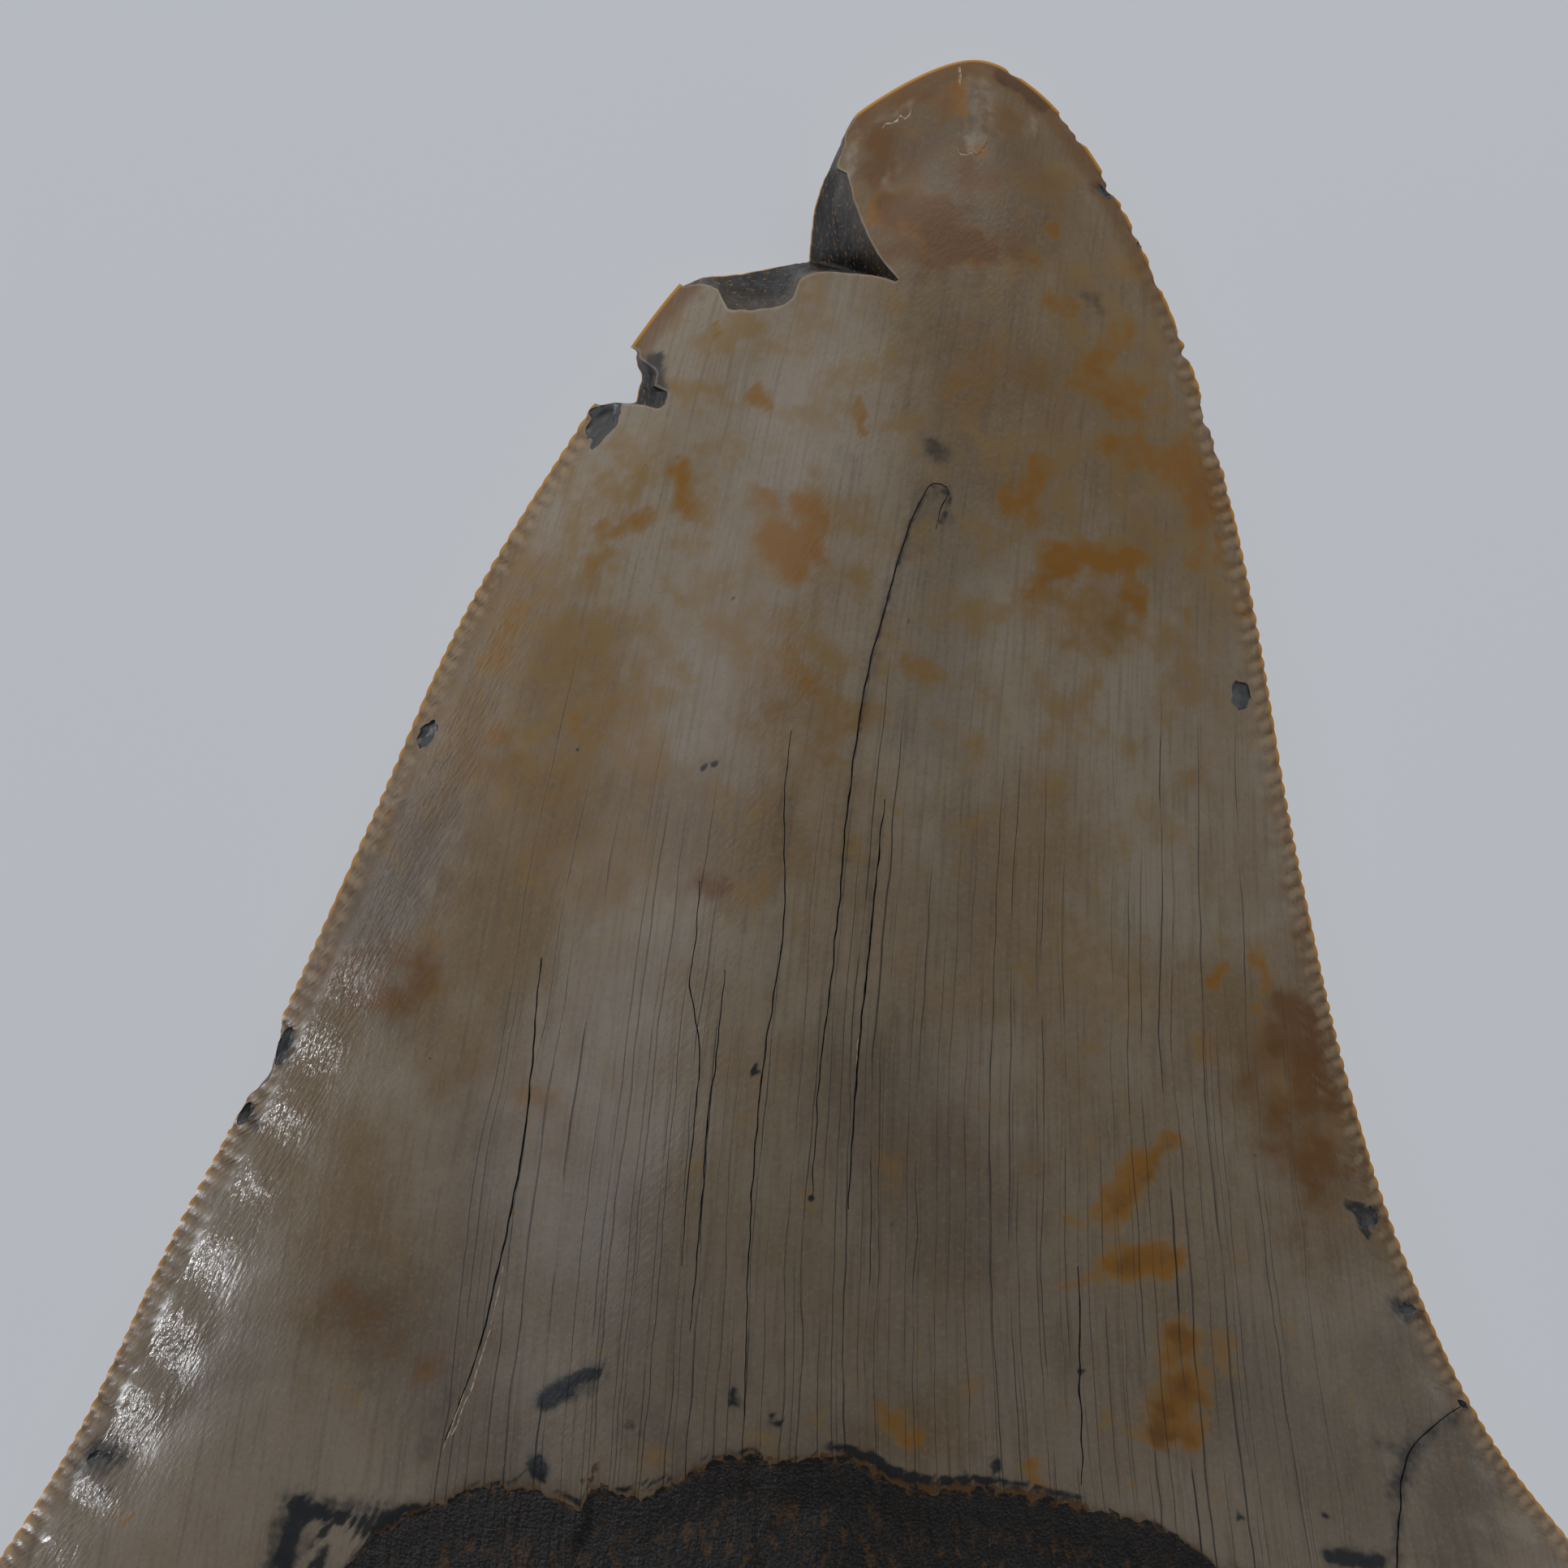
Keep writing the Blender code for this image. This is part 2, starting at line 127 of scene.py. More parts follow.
SPLINE_STEPS = 24
OUTLINE_PLACES = 3000  # on each stretch of the outline, to measure from
SERRATIONS = 124  # on each cutting edge
SERRATED_FROM = 0.005  # of the crown's length, upwards
SERRATED_TO = {"left": (0.755, 0.78), "right": (0.72, 0.92)}  # where they fade out

# The fine relief, in mm, besides the sizes in the panel. The ripples' rows are those of the
# photo in which they catch the light, and their crests lie RIPPLE_LAG rows higher.
RIPPLE_ROWS = (840, 930, 1020, 1110, 1200, 1290, 1382, 1462, 1541, 1647, 1741, 1850, 1905,
               1990, 2080, 2170, 2260)
RIPPLE_LAG = 50
RIPPLES_GROW = (1520, 1700)  # rows between which the ripples grow
RIPPLES_END = (0.50, 0.66)  # shares of the length between which the ripples fade out
RIPPLED_MARGIN = (0.9, 1.6, 2.6, 4.0)  # in from the edge: fading in, then out
RIB_LEAN, RIPPLE_LEAN = 0.5, 0.45  # how much lower each runs for a step in from the edge
SQUARE_TO_EDGE = 0.92  # from a step across to one square to the leaning edge
FLARE_REACH, FLARE_ENDS = 1.5, (0.5, 0.75)  # in from the edge, and shares of the length
NICK_DEPTH = 0.45  # of the worn right edge beside the tip
NICKED_EDGE = (0.76, 0.82, 0.97, 1)  # shares of the length: fading in, then out
FOOT_SLOPE, FOOT_THINNED = 0.06, 0.08  # half width of the enamel's step, and its thinning
LABIAL_STEP = 0.3  # down from the enamel on the labial face
BAND_BLUR = 1.6  # half width of the bare band's lower border
SOFT_LUMP, PIT, FIBRE = (7.0, 0.06), (1.1, 0.12), (0.5, 0.05)  # each: size and height
HOLLOW_SIZE = 4.5
NOISE_APART = 50  # between the two faces, so that their noise differs
ROUGH = (0.9, 2.0)  # fractal noise: how fast finer lumps get lower, and how much finer each is

FORAMEN = (0.8, -11.2)
FORAMEN_RADIUS, FORAMEN_DEPTH = 0.8, 2.0
LENGTH = TIP[1] - ROOT_BASE[2][1]

# The enamel's foot on the lingual face in the photo's pixels, left to right. Past the
# photo's edges it runs on to the crown's shoulders.
ENAMEL_FOOT = [
    (-184, 2148), (-100, 2122), (60, 2060), (200, 2015), (300, 1985), (380, 1972), (405, 1958),
    (428, 1932), (452, 1904), (476, 1884), (490, 1875), (505, 1869), (525, 1862), (548, 1852),
    (571, 1842), (594, 1833), (621, 1836), (648, 1835), (689, 1849), (716, 1862), (727, 1838),
    (745, 1836), (766, 1845), (794, 1849), (830, 1829), (875, 1806), (921, 1793), (957, 1806),
    (1003, 1799), (1039, 1797), (1066, 1808), (1103, 1832), (1139, 1841), (1182, 1838),
    (1236, 1839), (1264, 1848), (1300, 1852), (1336, 1864), (1382, 1870), (1418, 1880),
    (1436, 1891), (1464, 1905), (1495, 1930), (1560, 1950), (1700, 1990), (1850, 2040),
    (2000, 2090), (2133, 2116),
]

# Walls of the breaks, in the photo's pixels. A wall leans from its foot on the labial
# face to its head on the lingual face, and the break is open towards "outward".
BREAKS = {
    "tip_flake": {
        "head": [
            (1066, 128), (1056, 138), (1048, 152), (1043, 176), (1041, 200), (1046, 228),
            (1055, 258), (1064, 280), (1075, 302), (1090, 325), (1108, 347), (1080, 340),
            (1050, 336), (1020, 334), (1000, 335), (987, 341), (980, 353), (974, 368), (962, 377),
            (940, 381), (915, 382), (895, 379), (878, 368), (862, 356), (846, 351)],
        "foot": [
            (1062, 130), (1052, 142), (1042, 160), (1033, 182), (1023, 204), (1013, 228),
            (1006, 250), (1001, 274), (998, 296), (997, 310), (997, 321), (994, 323), (990, 324),
            (984, 325), (976, 326), (966, 328), (952, 330), (936, 333), (918, 336), (904, 338),
            (892, 340), (880, 341), (868, 343), (856, 347), (842, 354)],
        "outward": (-6.0, 6.0),
    },
    "edge_notch": {
        "head": [
            (779, 424), (792, 427), (806, 436), (820, 446), (825, 460), (822, 479), (820, 494),
            (812, 503), (790, 501), (772, 499), (742, 497)],
        "foot": [
            (777, 428), (784, 433), (783, 441), (785, 451), (790, 463), (787, 477), (785, 488),
            (783, 496), (772, 497), (758, 496), (738, 499)],
        "outward": (-4.0, 1.6),
    },
    "edge_bite": {
        "head": [
            (354, 1236), (359, 1280), (352, 1310), (338, 1330), (322, 1346), (306, 1362),
            (296, 1378), (288, 1392)],
        "foot": [
            (347, 1237), (343, 1280), (338, 1302), (333, 1322), (318, 1340), (305, 1352),
            (291, 1372), (282, 1388)],
        "outward": (-4.0, 1.6),
    },
}
WALL_STEPS_UP = 14
WALL_GRAIN = 0.18  # mm between the columns of a wall
WALL_OVERRUN = 0.6  # how far a cutter runs past a wall's foot and head, in wall heights
WALL_BOW = 0.44  # mm, four times the bow in the middle
LEAST_RISE = 3.0  # mm, of a broken wall's cutter over its foot

# Spalls, each a bite of a lumpy lens: (x, y, long radius, short radius, turn in degrees,
# depth), with x and y in the photo's pixels and the rest in mm
SPALLS = [
    (738, 526, 1.35, 0.85, 52, 0.24), (524, 909, 0.7, 0.42, 50, 0.12),
    (352, 1285, 0.85, 0.32, 75, 0.2), (300, 1377, 0.65, 0.32, 55, 0.2),
    (116, 1796, 0.5, 0.26, 35, 0.12), (1360, 236, 0.5, 0.28, -25, 0.12),
    (1404, 300, 0.22, 0.16, 60, 0.08), (1528, 858, 0.66, 0.58, 80, 0.1),
    (1687, 1502, 0.6, 0.42, 70, 0.12), (1738, 1614, 0.45, 0.36, 0, 0.08),
    (1802, 1730, 0.34, 0.15, -40, 0.18),
]

# Open cracks and chipped lips: width in mm, surface, and a line in the photo's pixels from
# the top down
CRACKS = [
    (0.10, "crack_fill", [  # the longest, with a hook at its head
        (1153, 652), (1158, 628), (1170, 608), (1158, 596), (1142, 602), (1122, 645), (1110, 680),
        (1097, 725), (1085, 770), (1073, 812), (1065, 850), (1057, 900), (1050, 950),
        (1042, 1020), (1035, 1100), (1030, 1150), (1025, 1200), (1017, 1265), (1010, 1320),
        (1005, 1400), (1000, 1477)]),
    (0.12, "crack_fill", [
        (1090, 985), (1085, 1030), (1080, 1080), (1074, 1140), (1068, 1200), (1061, 1265),
        (1055, 1330), (1050, 1410), (1045, 1490)]),
    (0.09, "crack_fill", [
        (975, 900), (969, 950), (966, 1010), (967, 1080), (965, 1150), (956, 1210), (945, 1280),
        (936, 1350), (930, 1420), (925, 1500), (921, 1580), (919, 1670), (917, 1745)]),
    (0.12, "crack_fill", [  # the long one at the left
        (667, 1180), (660, 1250), (652, 1350), (641, 1430), (628, 1500), (612, 1570), (596, 1640),
        (575, 1705), (548, 1775)]),
    (0.08, "crack_fill", [
        (862, 1085), (858, 1150), (850, 1215), (862, 1290), (856, 1380), (846, 1470), (840, 1560)]),
    (0.09, "crack_fill", [
        (893, 1195), (884, 1290), (873, 1370), (866, 1460), (858, 1560), (850, 1640)]),
    (0.12, "crack_fill", [  # round the right shoulder
        (1800, 1733), (1780, 1746), (1760, 1763), (1742, 1780), (1732, 1803), (1727, 1832),
        (1724, 1870), (1722, 1905), (1722, 1945), (1726, 2000)]),
    (0.10, "crack_fill", [(1328, 1560), (1331, 1620), (1330, 1690), (1333, 1760), (1333, 1830)]),
    # Pale lips and splinters, painted bright as glints.
    (0.14, "worn_lip", [(604, 1638), (590, 1680), (576, 1722), (556, 1768)]),
    (0.12, "worn_lip", [(590, 1660), (572, 1712), (546, 1788)]),
    (0.11, "worn_lip", [(620, 1560), (612, 1600), (604, 1632)]),
    (0.30, "worn_lip", [(1182, 82), (1183, 92), (1182, 106)]),
    (0.16, "worn_lip", [
        (1122, 133), (1117, 146), (1108, 141), (1102, 151), (1092, 150), (1086, 158)]),
    (0.22, "worn_lip", [
        (1180, 182), (1186, 192), (1196, 186), (1204, 192), (1214, 180), (1220, 166)]),
    (0.09, "worn_lip", [(1061, 1262), (1056, 1290), (1054, 1312)]),
]
CRACK_STEP = 0.30  # mm between the corners of a crack's line
CRACK_SWAY, SWAY_LENGTH = 2.2, 28  # pixels

# Marks, each a stroke from (x, y) to (x, y) with a half width in the photo's pixels and a
# strength. A round spot starts and ends at one place.
OCHRE_MARKS = [
    (1388, 405, 1345, 452, 17, 0.7), (1335, 465, 1402, 487, 20, 0.75),
    (1372, 492, 1402, 516, 15, 0.7), (1370, 545, 1440, 573, 22, 0.75),
    (1455, 560, 1488, 630, 25, 0.95), (1286, 576, 1245, 622, 17, 0.8),
    (1255, 625, 1275, 640, 14, 0.6), (1298, 690, 1392, 688, 19, 1.0),
    (1300, 708, 1272, 732, 13, 0.8), (1384, 700, 1402, 745, 14, 0.9),
    (1502, 665, 1505, 695, 9, 0.6), (1460, 752, 1462, 762, 10, 0.5), (1300, 276, 1296, 281, 9, 1.0),
    (1272, 311, 1273, 314, 7, 0.8), (1258, 262, 1262, 266, 7, 0.45),
    (1390, 330, 1400, 340, 13, 0.5), (1295, 372, 1318, 380, 16, 0.5),
    (1230, 430, 1180, 480, 26, 0.35), (1290, 330, 1330, 345, 18, 0.3),
    (1420, 440, 1430, 500, 15, 0.45), (1470, 690, 1480, 660, 15, 0.5),
    (926, 488, 944, 499, 9, 0.85), (885, 405, 886, 408, 8, 0.8), (1058, 495, 1063, 530, 7, 0.7),
    (1018, 469, 1024, 471, 8, 0.5), (838, 578, 846, 640, 12, 0.8), (860, 620, 868, 650, 9, 0.4),
    (940, 615, 950, 640, 16, 0.6), (952, 655, 975, 690, 25, 1.1), (995, 620, 1002, 675, 20, 0.95),
    (742, 655, 795, 640, 14, 0.55), (740, 680, 718, 720, 13, 0.45), (642, 750, 605, 820, 17, 0.6),
    (838, 740, 856, 738, 11, 0.4), (705, 890, 730, 916, 13, 0.5), (610, 902, 611, 912, 8, 1.0),
    (968, 800, 995, 845, 22, 0.5), (1005, 850, 1050, 888, 20, 0.35),
    (1115, 815, 1150, 835, 14, 0.4), (475, 998, 475, 1005, 6, 1.0), (1530, 752, 1531, 762, 5, 0.9),
    (1589, 1028, 1590, 1034, 5, 0.8), (600, 950, 615, 965, 12, 0.35),
    (520, 1150, 540, 1160, 12, 0.3), (800, 470, 835, 475, 10, 0.45),
    (1442, 1403, 1400, 1440, 12, 0.75), (1405, 1435, 1367, 1497, 20, 0.9),
    (1372, 1553, 1450, 1549, 17, 0.95), (1375, 1568, 1440, 1566, 11, 0.9),
    (1318, 1580, 1352, 1578, 9, 0.55), (1312, 1497, 1328, 1510, 5, 0.6),
    (1452, 1652, 1458, 1648, 23, 0.85), (1440, 1672, 1450, 1678, 16, 0.8),
    (1438, 1735, 1462, 1706, 25, 1.0), (1424, 1766, 1470, 1764, 17, 0.85),
    (1503, 1652, 1512, 1686, 15, 0.5), (1522, 1543, 1526, 1547, 11, 0.35),
    (1360, 1742, 1366, 1748, 11, 0.4), (1395, 1763, 1405, 1765, 9, 0.4),
    (1093, 1742, 1122, 1770, 15, 0.65), (1272, 1806, 1282, 1836, 12, 0.7),
    (1388, 1825, 1390, 1832, 6, 0.7), (1508, 1192, 1498, 1215, 7, 0.8),
    (1545, 1180, 1558, 1218, 9, 0.95), (1548, 1240, 1552, 1255, 7, 0.6),
    (1475, 1280, 1490, 1302, 15, 0.4), (536, 1208, 538, 1222, 13, 0.4),
    (640, 1350, 680, 1352, 11, 0.35), (1260, 1200, 1268, 1210, 11, 0.35),
    (800, 1795, 812, 1800, 16, 0.45), (430, 1712, 433, 1716, 12, 0.4),
    (880, 970, 905, 985, 16, 0.35), (935, 1080, 950, 1100, 10, 0.3), (145, 1865, 155, 1872, 9, 0.7),
    (1570, 1300, 1625, 1400, 42, 0.3), (1290, 735, 1380, 770, 45, 0.4),
    (925, 880, 985, 930, 45, 0.25), (740, 880, 800, 930, 42, 0.35), (1440, 580, 1490, 640, 30, 0.5),
    (640, 740, 760, 860, 100, 0.28), (560, 890, 690, 960, 60, 0.3),
    (700, 1060, 780, 1080, 70, 0.26), (880, 740, 960, 820, 60, 0.3), (740, 600, 800, 560, 40, 0.3),
    (1320, 1170, 1390, 1220, 45, 0.25), (1181, 108, 1183, 138, 8, 1.4),
    (1182, 186, 1212, 188, 7, 1.0), (1092, 255, 1146, 263, 24, 1.3),
    (1155, 293, 1205, 308, 21, 1.3), (1118, 274, 1165, 284, 22, 1.1),
]
FOOT_STRIPE = [
    (575, 1838, 650, 1838, 5, 0.6), (722, 1828, 734, 1806, 5, 0.8), (740, 1838, 830, 1838, 5, 0.5),
    (835, 1824, 900, 1800, 6, 0.6), (905, 1797, 1000, 1800, 5, 0.6),
    (1000, 1795, 1060, 1800, 6, 0.8), (1060, 1806, 1110, 1830, 8, 1.0),
    (1110, 1832, 1180, 1836, 8, 1.0), (1180, 1834, 1260, 1842, 8, 1.0),
    (1262, 1846, 1335, 1860, 8, 0.9), (1335, 1862, 1430, 1882, 6, 0.6),
    (1092, 1843, 1100, 1846, 5, 1.0),
]
FOOT_FRINGE = [
    (1020, 1782, 1066, 1792, 7, 0.9), (1066, 1792, 1104, 1816, 7, 1.0),
    (1104, 1816, 1140, 1824, 7, 1.0), (1140, 1824, 1236, 1824, 6, 0.9),
    (1236, 1824, 1330, 1848, 6, 0.8), (655, 1806, 664, 1822, 6, 0.9),
    (570, 1834, 640, 1824, 4, 0.7), (690, 1838, 716, 1852, 5, 0.8), (760, 1838, 830, 1818, 4, 0.7),
    (870, 1800, 930, 1784, 4, 0.7), (345, 1925, 368, 1856, 10, 1.0),
    (368, 1856, 402, 1868, 12, 1.0), (402, 1868, 440, 1880, 6, 0.9),
    (446, 1878, 520, 1866, 14, 1.0), (400, 1885, 396, 1930, 6, 0.9),
    (1420, 1878, 1490, 1925, 6, 0.8), (1224, 1798, 1228, 1810, 6, 0.8),
]
TAN_AREAS = [
    (600, 860, 530, 1020, 45, 1.0), (1560, 1300, 1600, 1400, 60, 0.8),
    (1150, 300, 1330, 560, 150, 0.8), (1330, 300, 1430, 640, 90, 0.9),
    (1190, 420, 1200, 640, 80, 0.6), (980, 800, 1000, 1000, 90, 0.4),
    (1250, 1040, 1260, 1180, 90, 0.8), (1400, 1240, 1460, 1300, 80, 0.6),
    (720, 1000, 930, 1040, 80, 1.0), (640, 1000, 620, 1180, 90, 1.0), (580, 740, 700, 860, 90, 1.0),
    (370, 1250, 430, 1600, 90, 0.9), (470, 1140, 560, 1260, 80, 0.8),
    (1120, 150, 1240, 240, 110, 1.5), (1330, 1180, 1380, 1220, 60, 0.7),
    (1560, 1250, 1660, 1480, 90, 1.0), (860, 560, 940, 700, 60, 0.3),
    (1110, 1760, 1130, 1790, 60, 0.7), (1400, 1560, 1430, 1740, 70, 0.5),
    (1480, 700, 1530, 1100, 50, 0.6), (1100, 110, 1260, 120, 90, 1.5),
    (640, 1200, 1000, 1300, 120, 0.35), (1380, 250, 1480, 700, 50, 0.8),
    (600, 1500, 1400, 1500, 150, 0.3), (480, 1100, 540, 1300, 60, 0.8),
    (1340, 1350, 1480, 1500, 90, 0.5), (1000, 1050, 1150, 1200, 100, 0.5),
]
# Darker areas of the crown: partly darker enamel and partly painted shade, along the crown's
# bottom, on its left flank and round the tip.
DARK_TONE_AND_PAINTED_SHADE_AREAS = [
    (1190, 420, 1150, 900, 60, 0.35), (1700, 1680, 1760, 1780, 60, 0.4),
    (590, 880, 520, 1060, 30, 0.4), (1080, 1350, 1180, 1500, 110, 0.5),
    (790, 1740, 830, 1790, 50, 0.5), (1720, 1700, 1730, 1740, 50, 0.4),
    (1000, 1560, 1120, 1650, 120, 0.25), (1500, 1700, 1680, 1850, 90, 0.45),
    (760, 1500, 860, 1780, 120, 0.35), (520, 1640, 620, 1820, 90, 0.5),
    (520, 1030, 460, 1150, 50, 0.6), (440, 1170, 480, 1240, 45, 0.4),
    (440, 1600, 490, 1680, 50, 0.5), (1250, 1600, 1330, 1800, 100, 0.25),
    (1180, 1000, 1170, 1150, 60, 0.3), (1150, 150, 1180, 230, 130, 0.5),
    (960, 1780, 1060, 1770, 60, 0.4), (420, 1180, 500, 1200, 50, 0.3),
    (600, 1400, 590, 1560, 60, 0.4), (1780, 1800, 1800, 1900, 60, 0.6),
    (230, 1700, 300, 1660, 50, 0.4),
]
BROWN_SHADOWS = [
    (590, 880, 520, 1060, 26, 0.3), (1560, 1290, 1610, 1400, 60, 0.35),
    (1040, 560, 1000, 760, 60, 0.12), (1600, 1262, 1626, 1350, 38, 0.9),
    (1580, 1320, 1550, 1340, 40, 0.4), (1585, 1385, 1630, 1440, 36, 0.7),
    (1602, 1408, 1604, 1420, 14, 0.6), (545, 985, 560, 1100, 50, 0.25),
    (430, 1195, 500, 1205, 45, 0.6), (1150, 440, 1260, 480, 55, 0.3),
    (1080, 285, 1150, 318, 34, 0.6), (560, 875, 600, 930, 42, 0.3), (600, 1330, 680, 1380, 55, 0.3),
    (500, 1030, 545, 1070, 40, 0.25), (930, 870, 980, 930, 60, 0.25),
    (1300, 740, 1360, 760, 45, 0.25), (420, 1610, 520, 1672, 45, 0.35),
    (510, 1650, 560, 1700, 42, 0.2), (1110, 1395, 1270, 1445, 48, 0.2),
    (845, 1080, 880, 1090, 18, 0.5), (1188, 180, 1192, 285, 16, 0.8),
    (1090, 170, 1080, 240, 30, 0.6), (540, 1080, 545, 1090, 16, 0.4),
    (1096, 254, 1150, 262, 26, 1.3), (1155, 292, 1205, 308, 24, 1.2),
    (1120, 272, 1170, 282, 24, 0.9), (1480, 560, 1500, 640, 30, 0.25),
    (1440, 1735, 1460, 1714, 21, 0.7), (1430, 1766, 1464, 1764, 14, 0.8),
    (1452, 1654, 1457, 1650, 18, 0.5), (1436, 1410, 1372, 1490, 10, 0.45),
    (1378, 1554, 1444, 1550, 13, 0.45), (700, 1030, 760, 1080, 50, 0.25),
    (1090, 150, 1074, 220, 14, 0.8), (1170, 110, 1176, 150, 8, 0.5), (850, 365, 900, 352, 12, 0.4),
    (1640, 1440, 1600, 1500, 30, 0.4), (1140, 110, 1110, 130, 20, 0.6),
    (1215, 220, 1250, 300, 30, 0.45), (620, 620, 560, 760, 12, 0.25),
    (1590, 1100, 1625, 1230, 18, 0.4), (1120, 200, 1180, 200, 40, 0.45),
    (1140, 120, 1240, 150, 45, 0.4), (1240, 200, 1300, 260, 50, 0.3),
]
GREY_STAINS = [
    (1158, 598, 1171, 612, 5, 0.6), (1142, 606, 1120, 650, 4, 0.55), (1120, 650, 1097, 725, 4, 0.5),
    (1097, 725, 1065, 850, 4, 0.5), (1065, 850, 1050, 950, 3, 0.45), (1171, 612, 1160, 645, 4, 0.6),
    (672, 1727, 700, 1708, 13, 1.0), (696, 1704, 735, 1692, 9, 0.95),
    (662, 1800, 668, 1812, 8, 1.0), (904, 1712, 906, 1728, 7, 0.8), (953, 1748, 958, 1756, 6, 0.9),
    (955, 1738, 960, 1742, 3, 0.7), (776, 1755, 786, 1765, 9, 0.5),
    (1228, 1800, 1226, 1806, 6, 0.9), (1190, 1806, 1192, 1820, 5, 0.5),
    (1640, 1918, 1700, 1926, 10, 0.95), (866, 946, 868, 946, 4, 1.0), (879, 940, 882, 939, 4, 1.0),
    (902, 735, 904, 736, 3, 0.8), (930, 1312, 932, 1322, 5, 0.95), (1095, 1500, 1097, 1510, 5, 0.6),
    (1000, 1476, 1001, 1479, 4, 0.9), (1329, 1690, 1330, 1692, 4, 0.9),
    (112, 1790, 138, 1798, 7, 0.7), (1150, 554, 1158, 560, 6, 0.5), (1150, 600, 1168, 604, 5, 0.6),
    (1660, 1484, 1690, 1488, 5, 1.0), (1676, 1490, 1684, 1522, 5, 1.0),
    (1688, 1488, 1696, 1500, 7, 0.9), (1522, 842, 1520, 850, 3, 0.7),
    (1108, 765, 1118, 766, 2, 0.6), (366, 1862, 400, 1868, 10, 0.95),
    (440, 1932, 486, 1886, 14, 1.0), (362, 1880, 348, 1935, 11, 1.0),
    (376, 1860, 430, 1872, 9, 1.0), (386, 1900, 380, 1930, 6, 0.8),
    (1727, 1610, 1727, 1616, 5, 0.8), (1360, 1848, 1360, 1855, 4, 0.9),
    (1518, 1858, 1530, 1868, 3, 0.8), (1632, 1865, 1636, 1868, 4, 0.8),
    (335, 1270, 337, 1300, 5, 0.9), (1240, 90, 1262, 102, 13, 1.2), (1262, 102, 1284, 124, 12, 1.2),
    (745, 505, 735, 512, 5, 0.6), (1350, 230, 1362, 238, 6, 0.6),
]
# Dark smudges, and painted shadow beside the crack round the right shoulder in the strokes from
# (1796, 1742) down to (1722, 1930).
SMUDGES_AND_CRACK_SHADOW = [
    (98, 1800, 140, 1790, 20, 0.9), (118, 1812, 132, 1838, 12, 0.6),
    (1722, 1612, 1746, 1618, 16, 0.8), (1796, 1742, 1748, 1778, 11, 0.6),
    (1742, 1778, 1722, 1840, 14, 0.75), (1698, 1776, 1730, 1786, 11, 0.5),
    (1722, 1840, 1722, 1930, 12, 0.5), (1345, 366, 1350, 380, 14, 0.5),
    (1146, 604, 1168, 640, 14, 0.4), (1150, 552, 1162, 566, 13, 0.6),
    (1118, 640, 1128, 612, 9, 0.4), (346, 1268, 352, 1300, 14, 0.8),
    (290, 1362, 312, 1384, 14, 0.8), (366, 1856, 345, 1932, 24, 0.8),
    (376, 1858, 520, 1866, 16, 0.7), (672, 1727, 735, 1694, 18, 0.6),
    (660, 1800, 668, 1812, 14, 0.5), (1040, 560, 1052, 578, 16, 0.3), (805, 445, 808, 490, 12, 1.2),
    (940, 700, 944, 712, 8, 0.2), (560, 1690, 520, 1800, 16, 0.35),
    (1640, 1916, 1700, 1926, 16, 0.6), (1350, 228, 1364, 238, 10, 0.6),
    (900, 1710, 908, 1728, 12, 0.5), (1140, 612, 1098, 720, 14, 0.34),
    (1098, 720, 1058, 890, 14, 0.36), (1058, 890, 1040, 1060, 14, 0.32),
    (1080, 1010, 1062, 1190, 13, 0.32), (968, 940, 950, 1230, 13, 0.3),
    (1040, 1060, 1020, 1240, 13, 0.28),
]
# Pale worn patches; the broad ones on the upper left, from (770, 560) and (640, 900), are painted
# sheen.
PALE_WEAR_AND_PAINTED_SHEEN = [
    (1205, 100, 1214, 165, 24, 0.4), (1052, 150, 1046, 215, 8, 0.5),
    (1196, 170, 1200, 182, 10, 0.6), (1078, 148, 1120, 126, 9, 0.4),
    (1108, 200, 1092, 226, 11, 0.35), (930, 375, 1000, 350, 12, 0.4), (770, 560, 830, 480, 35, 0.3),
    (640, 900, 720, 860, 60, 0.25), (720, 1800, 722, 1815, 5, 0.4), (404, 1895, 450, 1925, 22, 0.4),
    (1430, 620, 1380, 620, 30, 0.25), (1290, 110, 1270, 160, 12, 0.4),
    (1330, 1160, 1390, 1230, 50, 0.3),
]
STROKE_FADE = (0.2, 1.8)  # half widths from a stroke's middle line
MARKS = {  # attribute: (how far its edges waver in pixels, strokes)
    "ochre": (11, OCHRE_MARKS),
    "stripe": (2, FOOT_STRIPE),
    "tan": (30, TAN_AREAS),
    "shade": (30, DARK_TONE_AND_PAINTED_SHADE_AREAS),
    "brown": (14, BROWN_SHADOWS),
    "grey": (2, GREY_STAINS + FOOT_FRINGE),
    "smudge": (6, SMUDGES_AND_CRACK_SHADOW),
    "pale": (6, PALE_WEAR_AND_PAINTED_SHEEN),
}

# The mesh
LINGUAL_COLUMNS, LABIAL_COLUMNS = 180, 52
ROOT_ROWS, CROWN_ROWS = 72, 2 * SERRATIONS
RIM_COLUMNS = {"lingual": 6, "labial": 3}
RIM_BAND = {"lingual": 1.5, "labial": 1.2}  # mm
SAMPLES_PER_ROW = 3
SEAM_GAP = 0.0004  # of the length, between the root's last row and the enamel's first
WELD = 0.002  # mm
SHARP_ANGLE = 55  # degrees
# Above LANE_FOOT the grain's lanes lean by LANE_LEAN in the middle, and with each mm they
# lean more by LANE_BEND and draw together by LANE_FAN.
LANE_LEAN, LANE_BEND, LANE_FAN, LANE_FOOT = 0.035, 0.0035, 0.006, 12.0
HAIRLINE_LANES = (-18.0, -13.5, 20.0, 28.0)  # mm: hairlines fade in, then out


def colour(code):
    """The linear colour of an sRGB hex value, such as 6a5f50."""
    parts = [int(code[k:k + 2], 16) / 255 for k in (0, 2, 4)]
    return (*(c / 12.92 if c <= 0.04045 else ((c + 0.055) / 1.055) ** 2.4 for c in parts), 1.0)


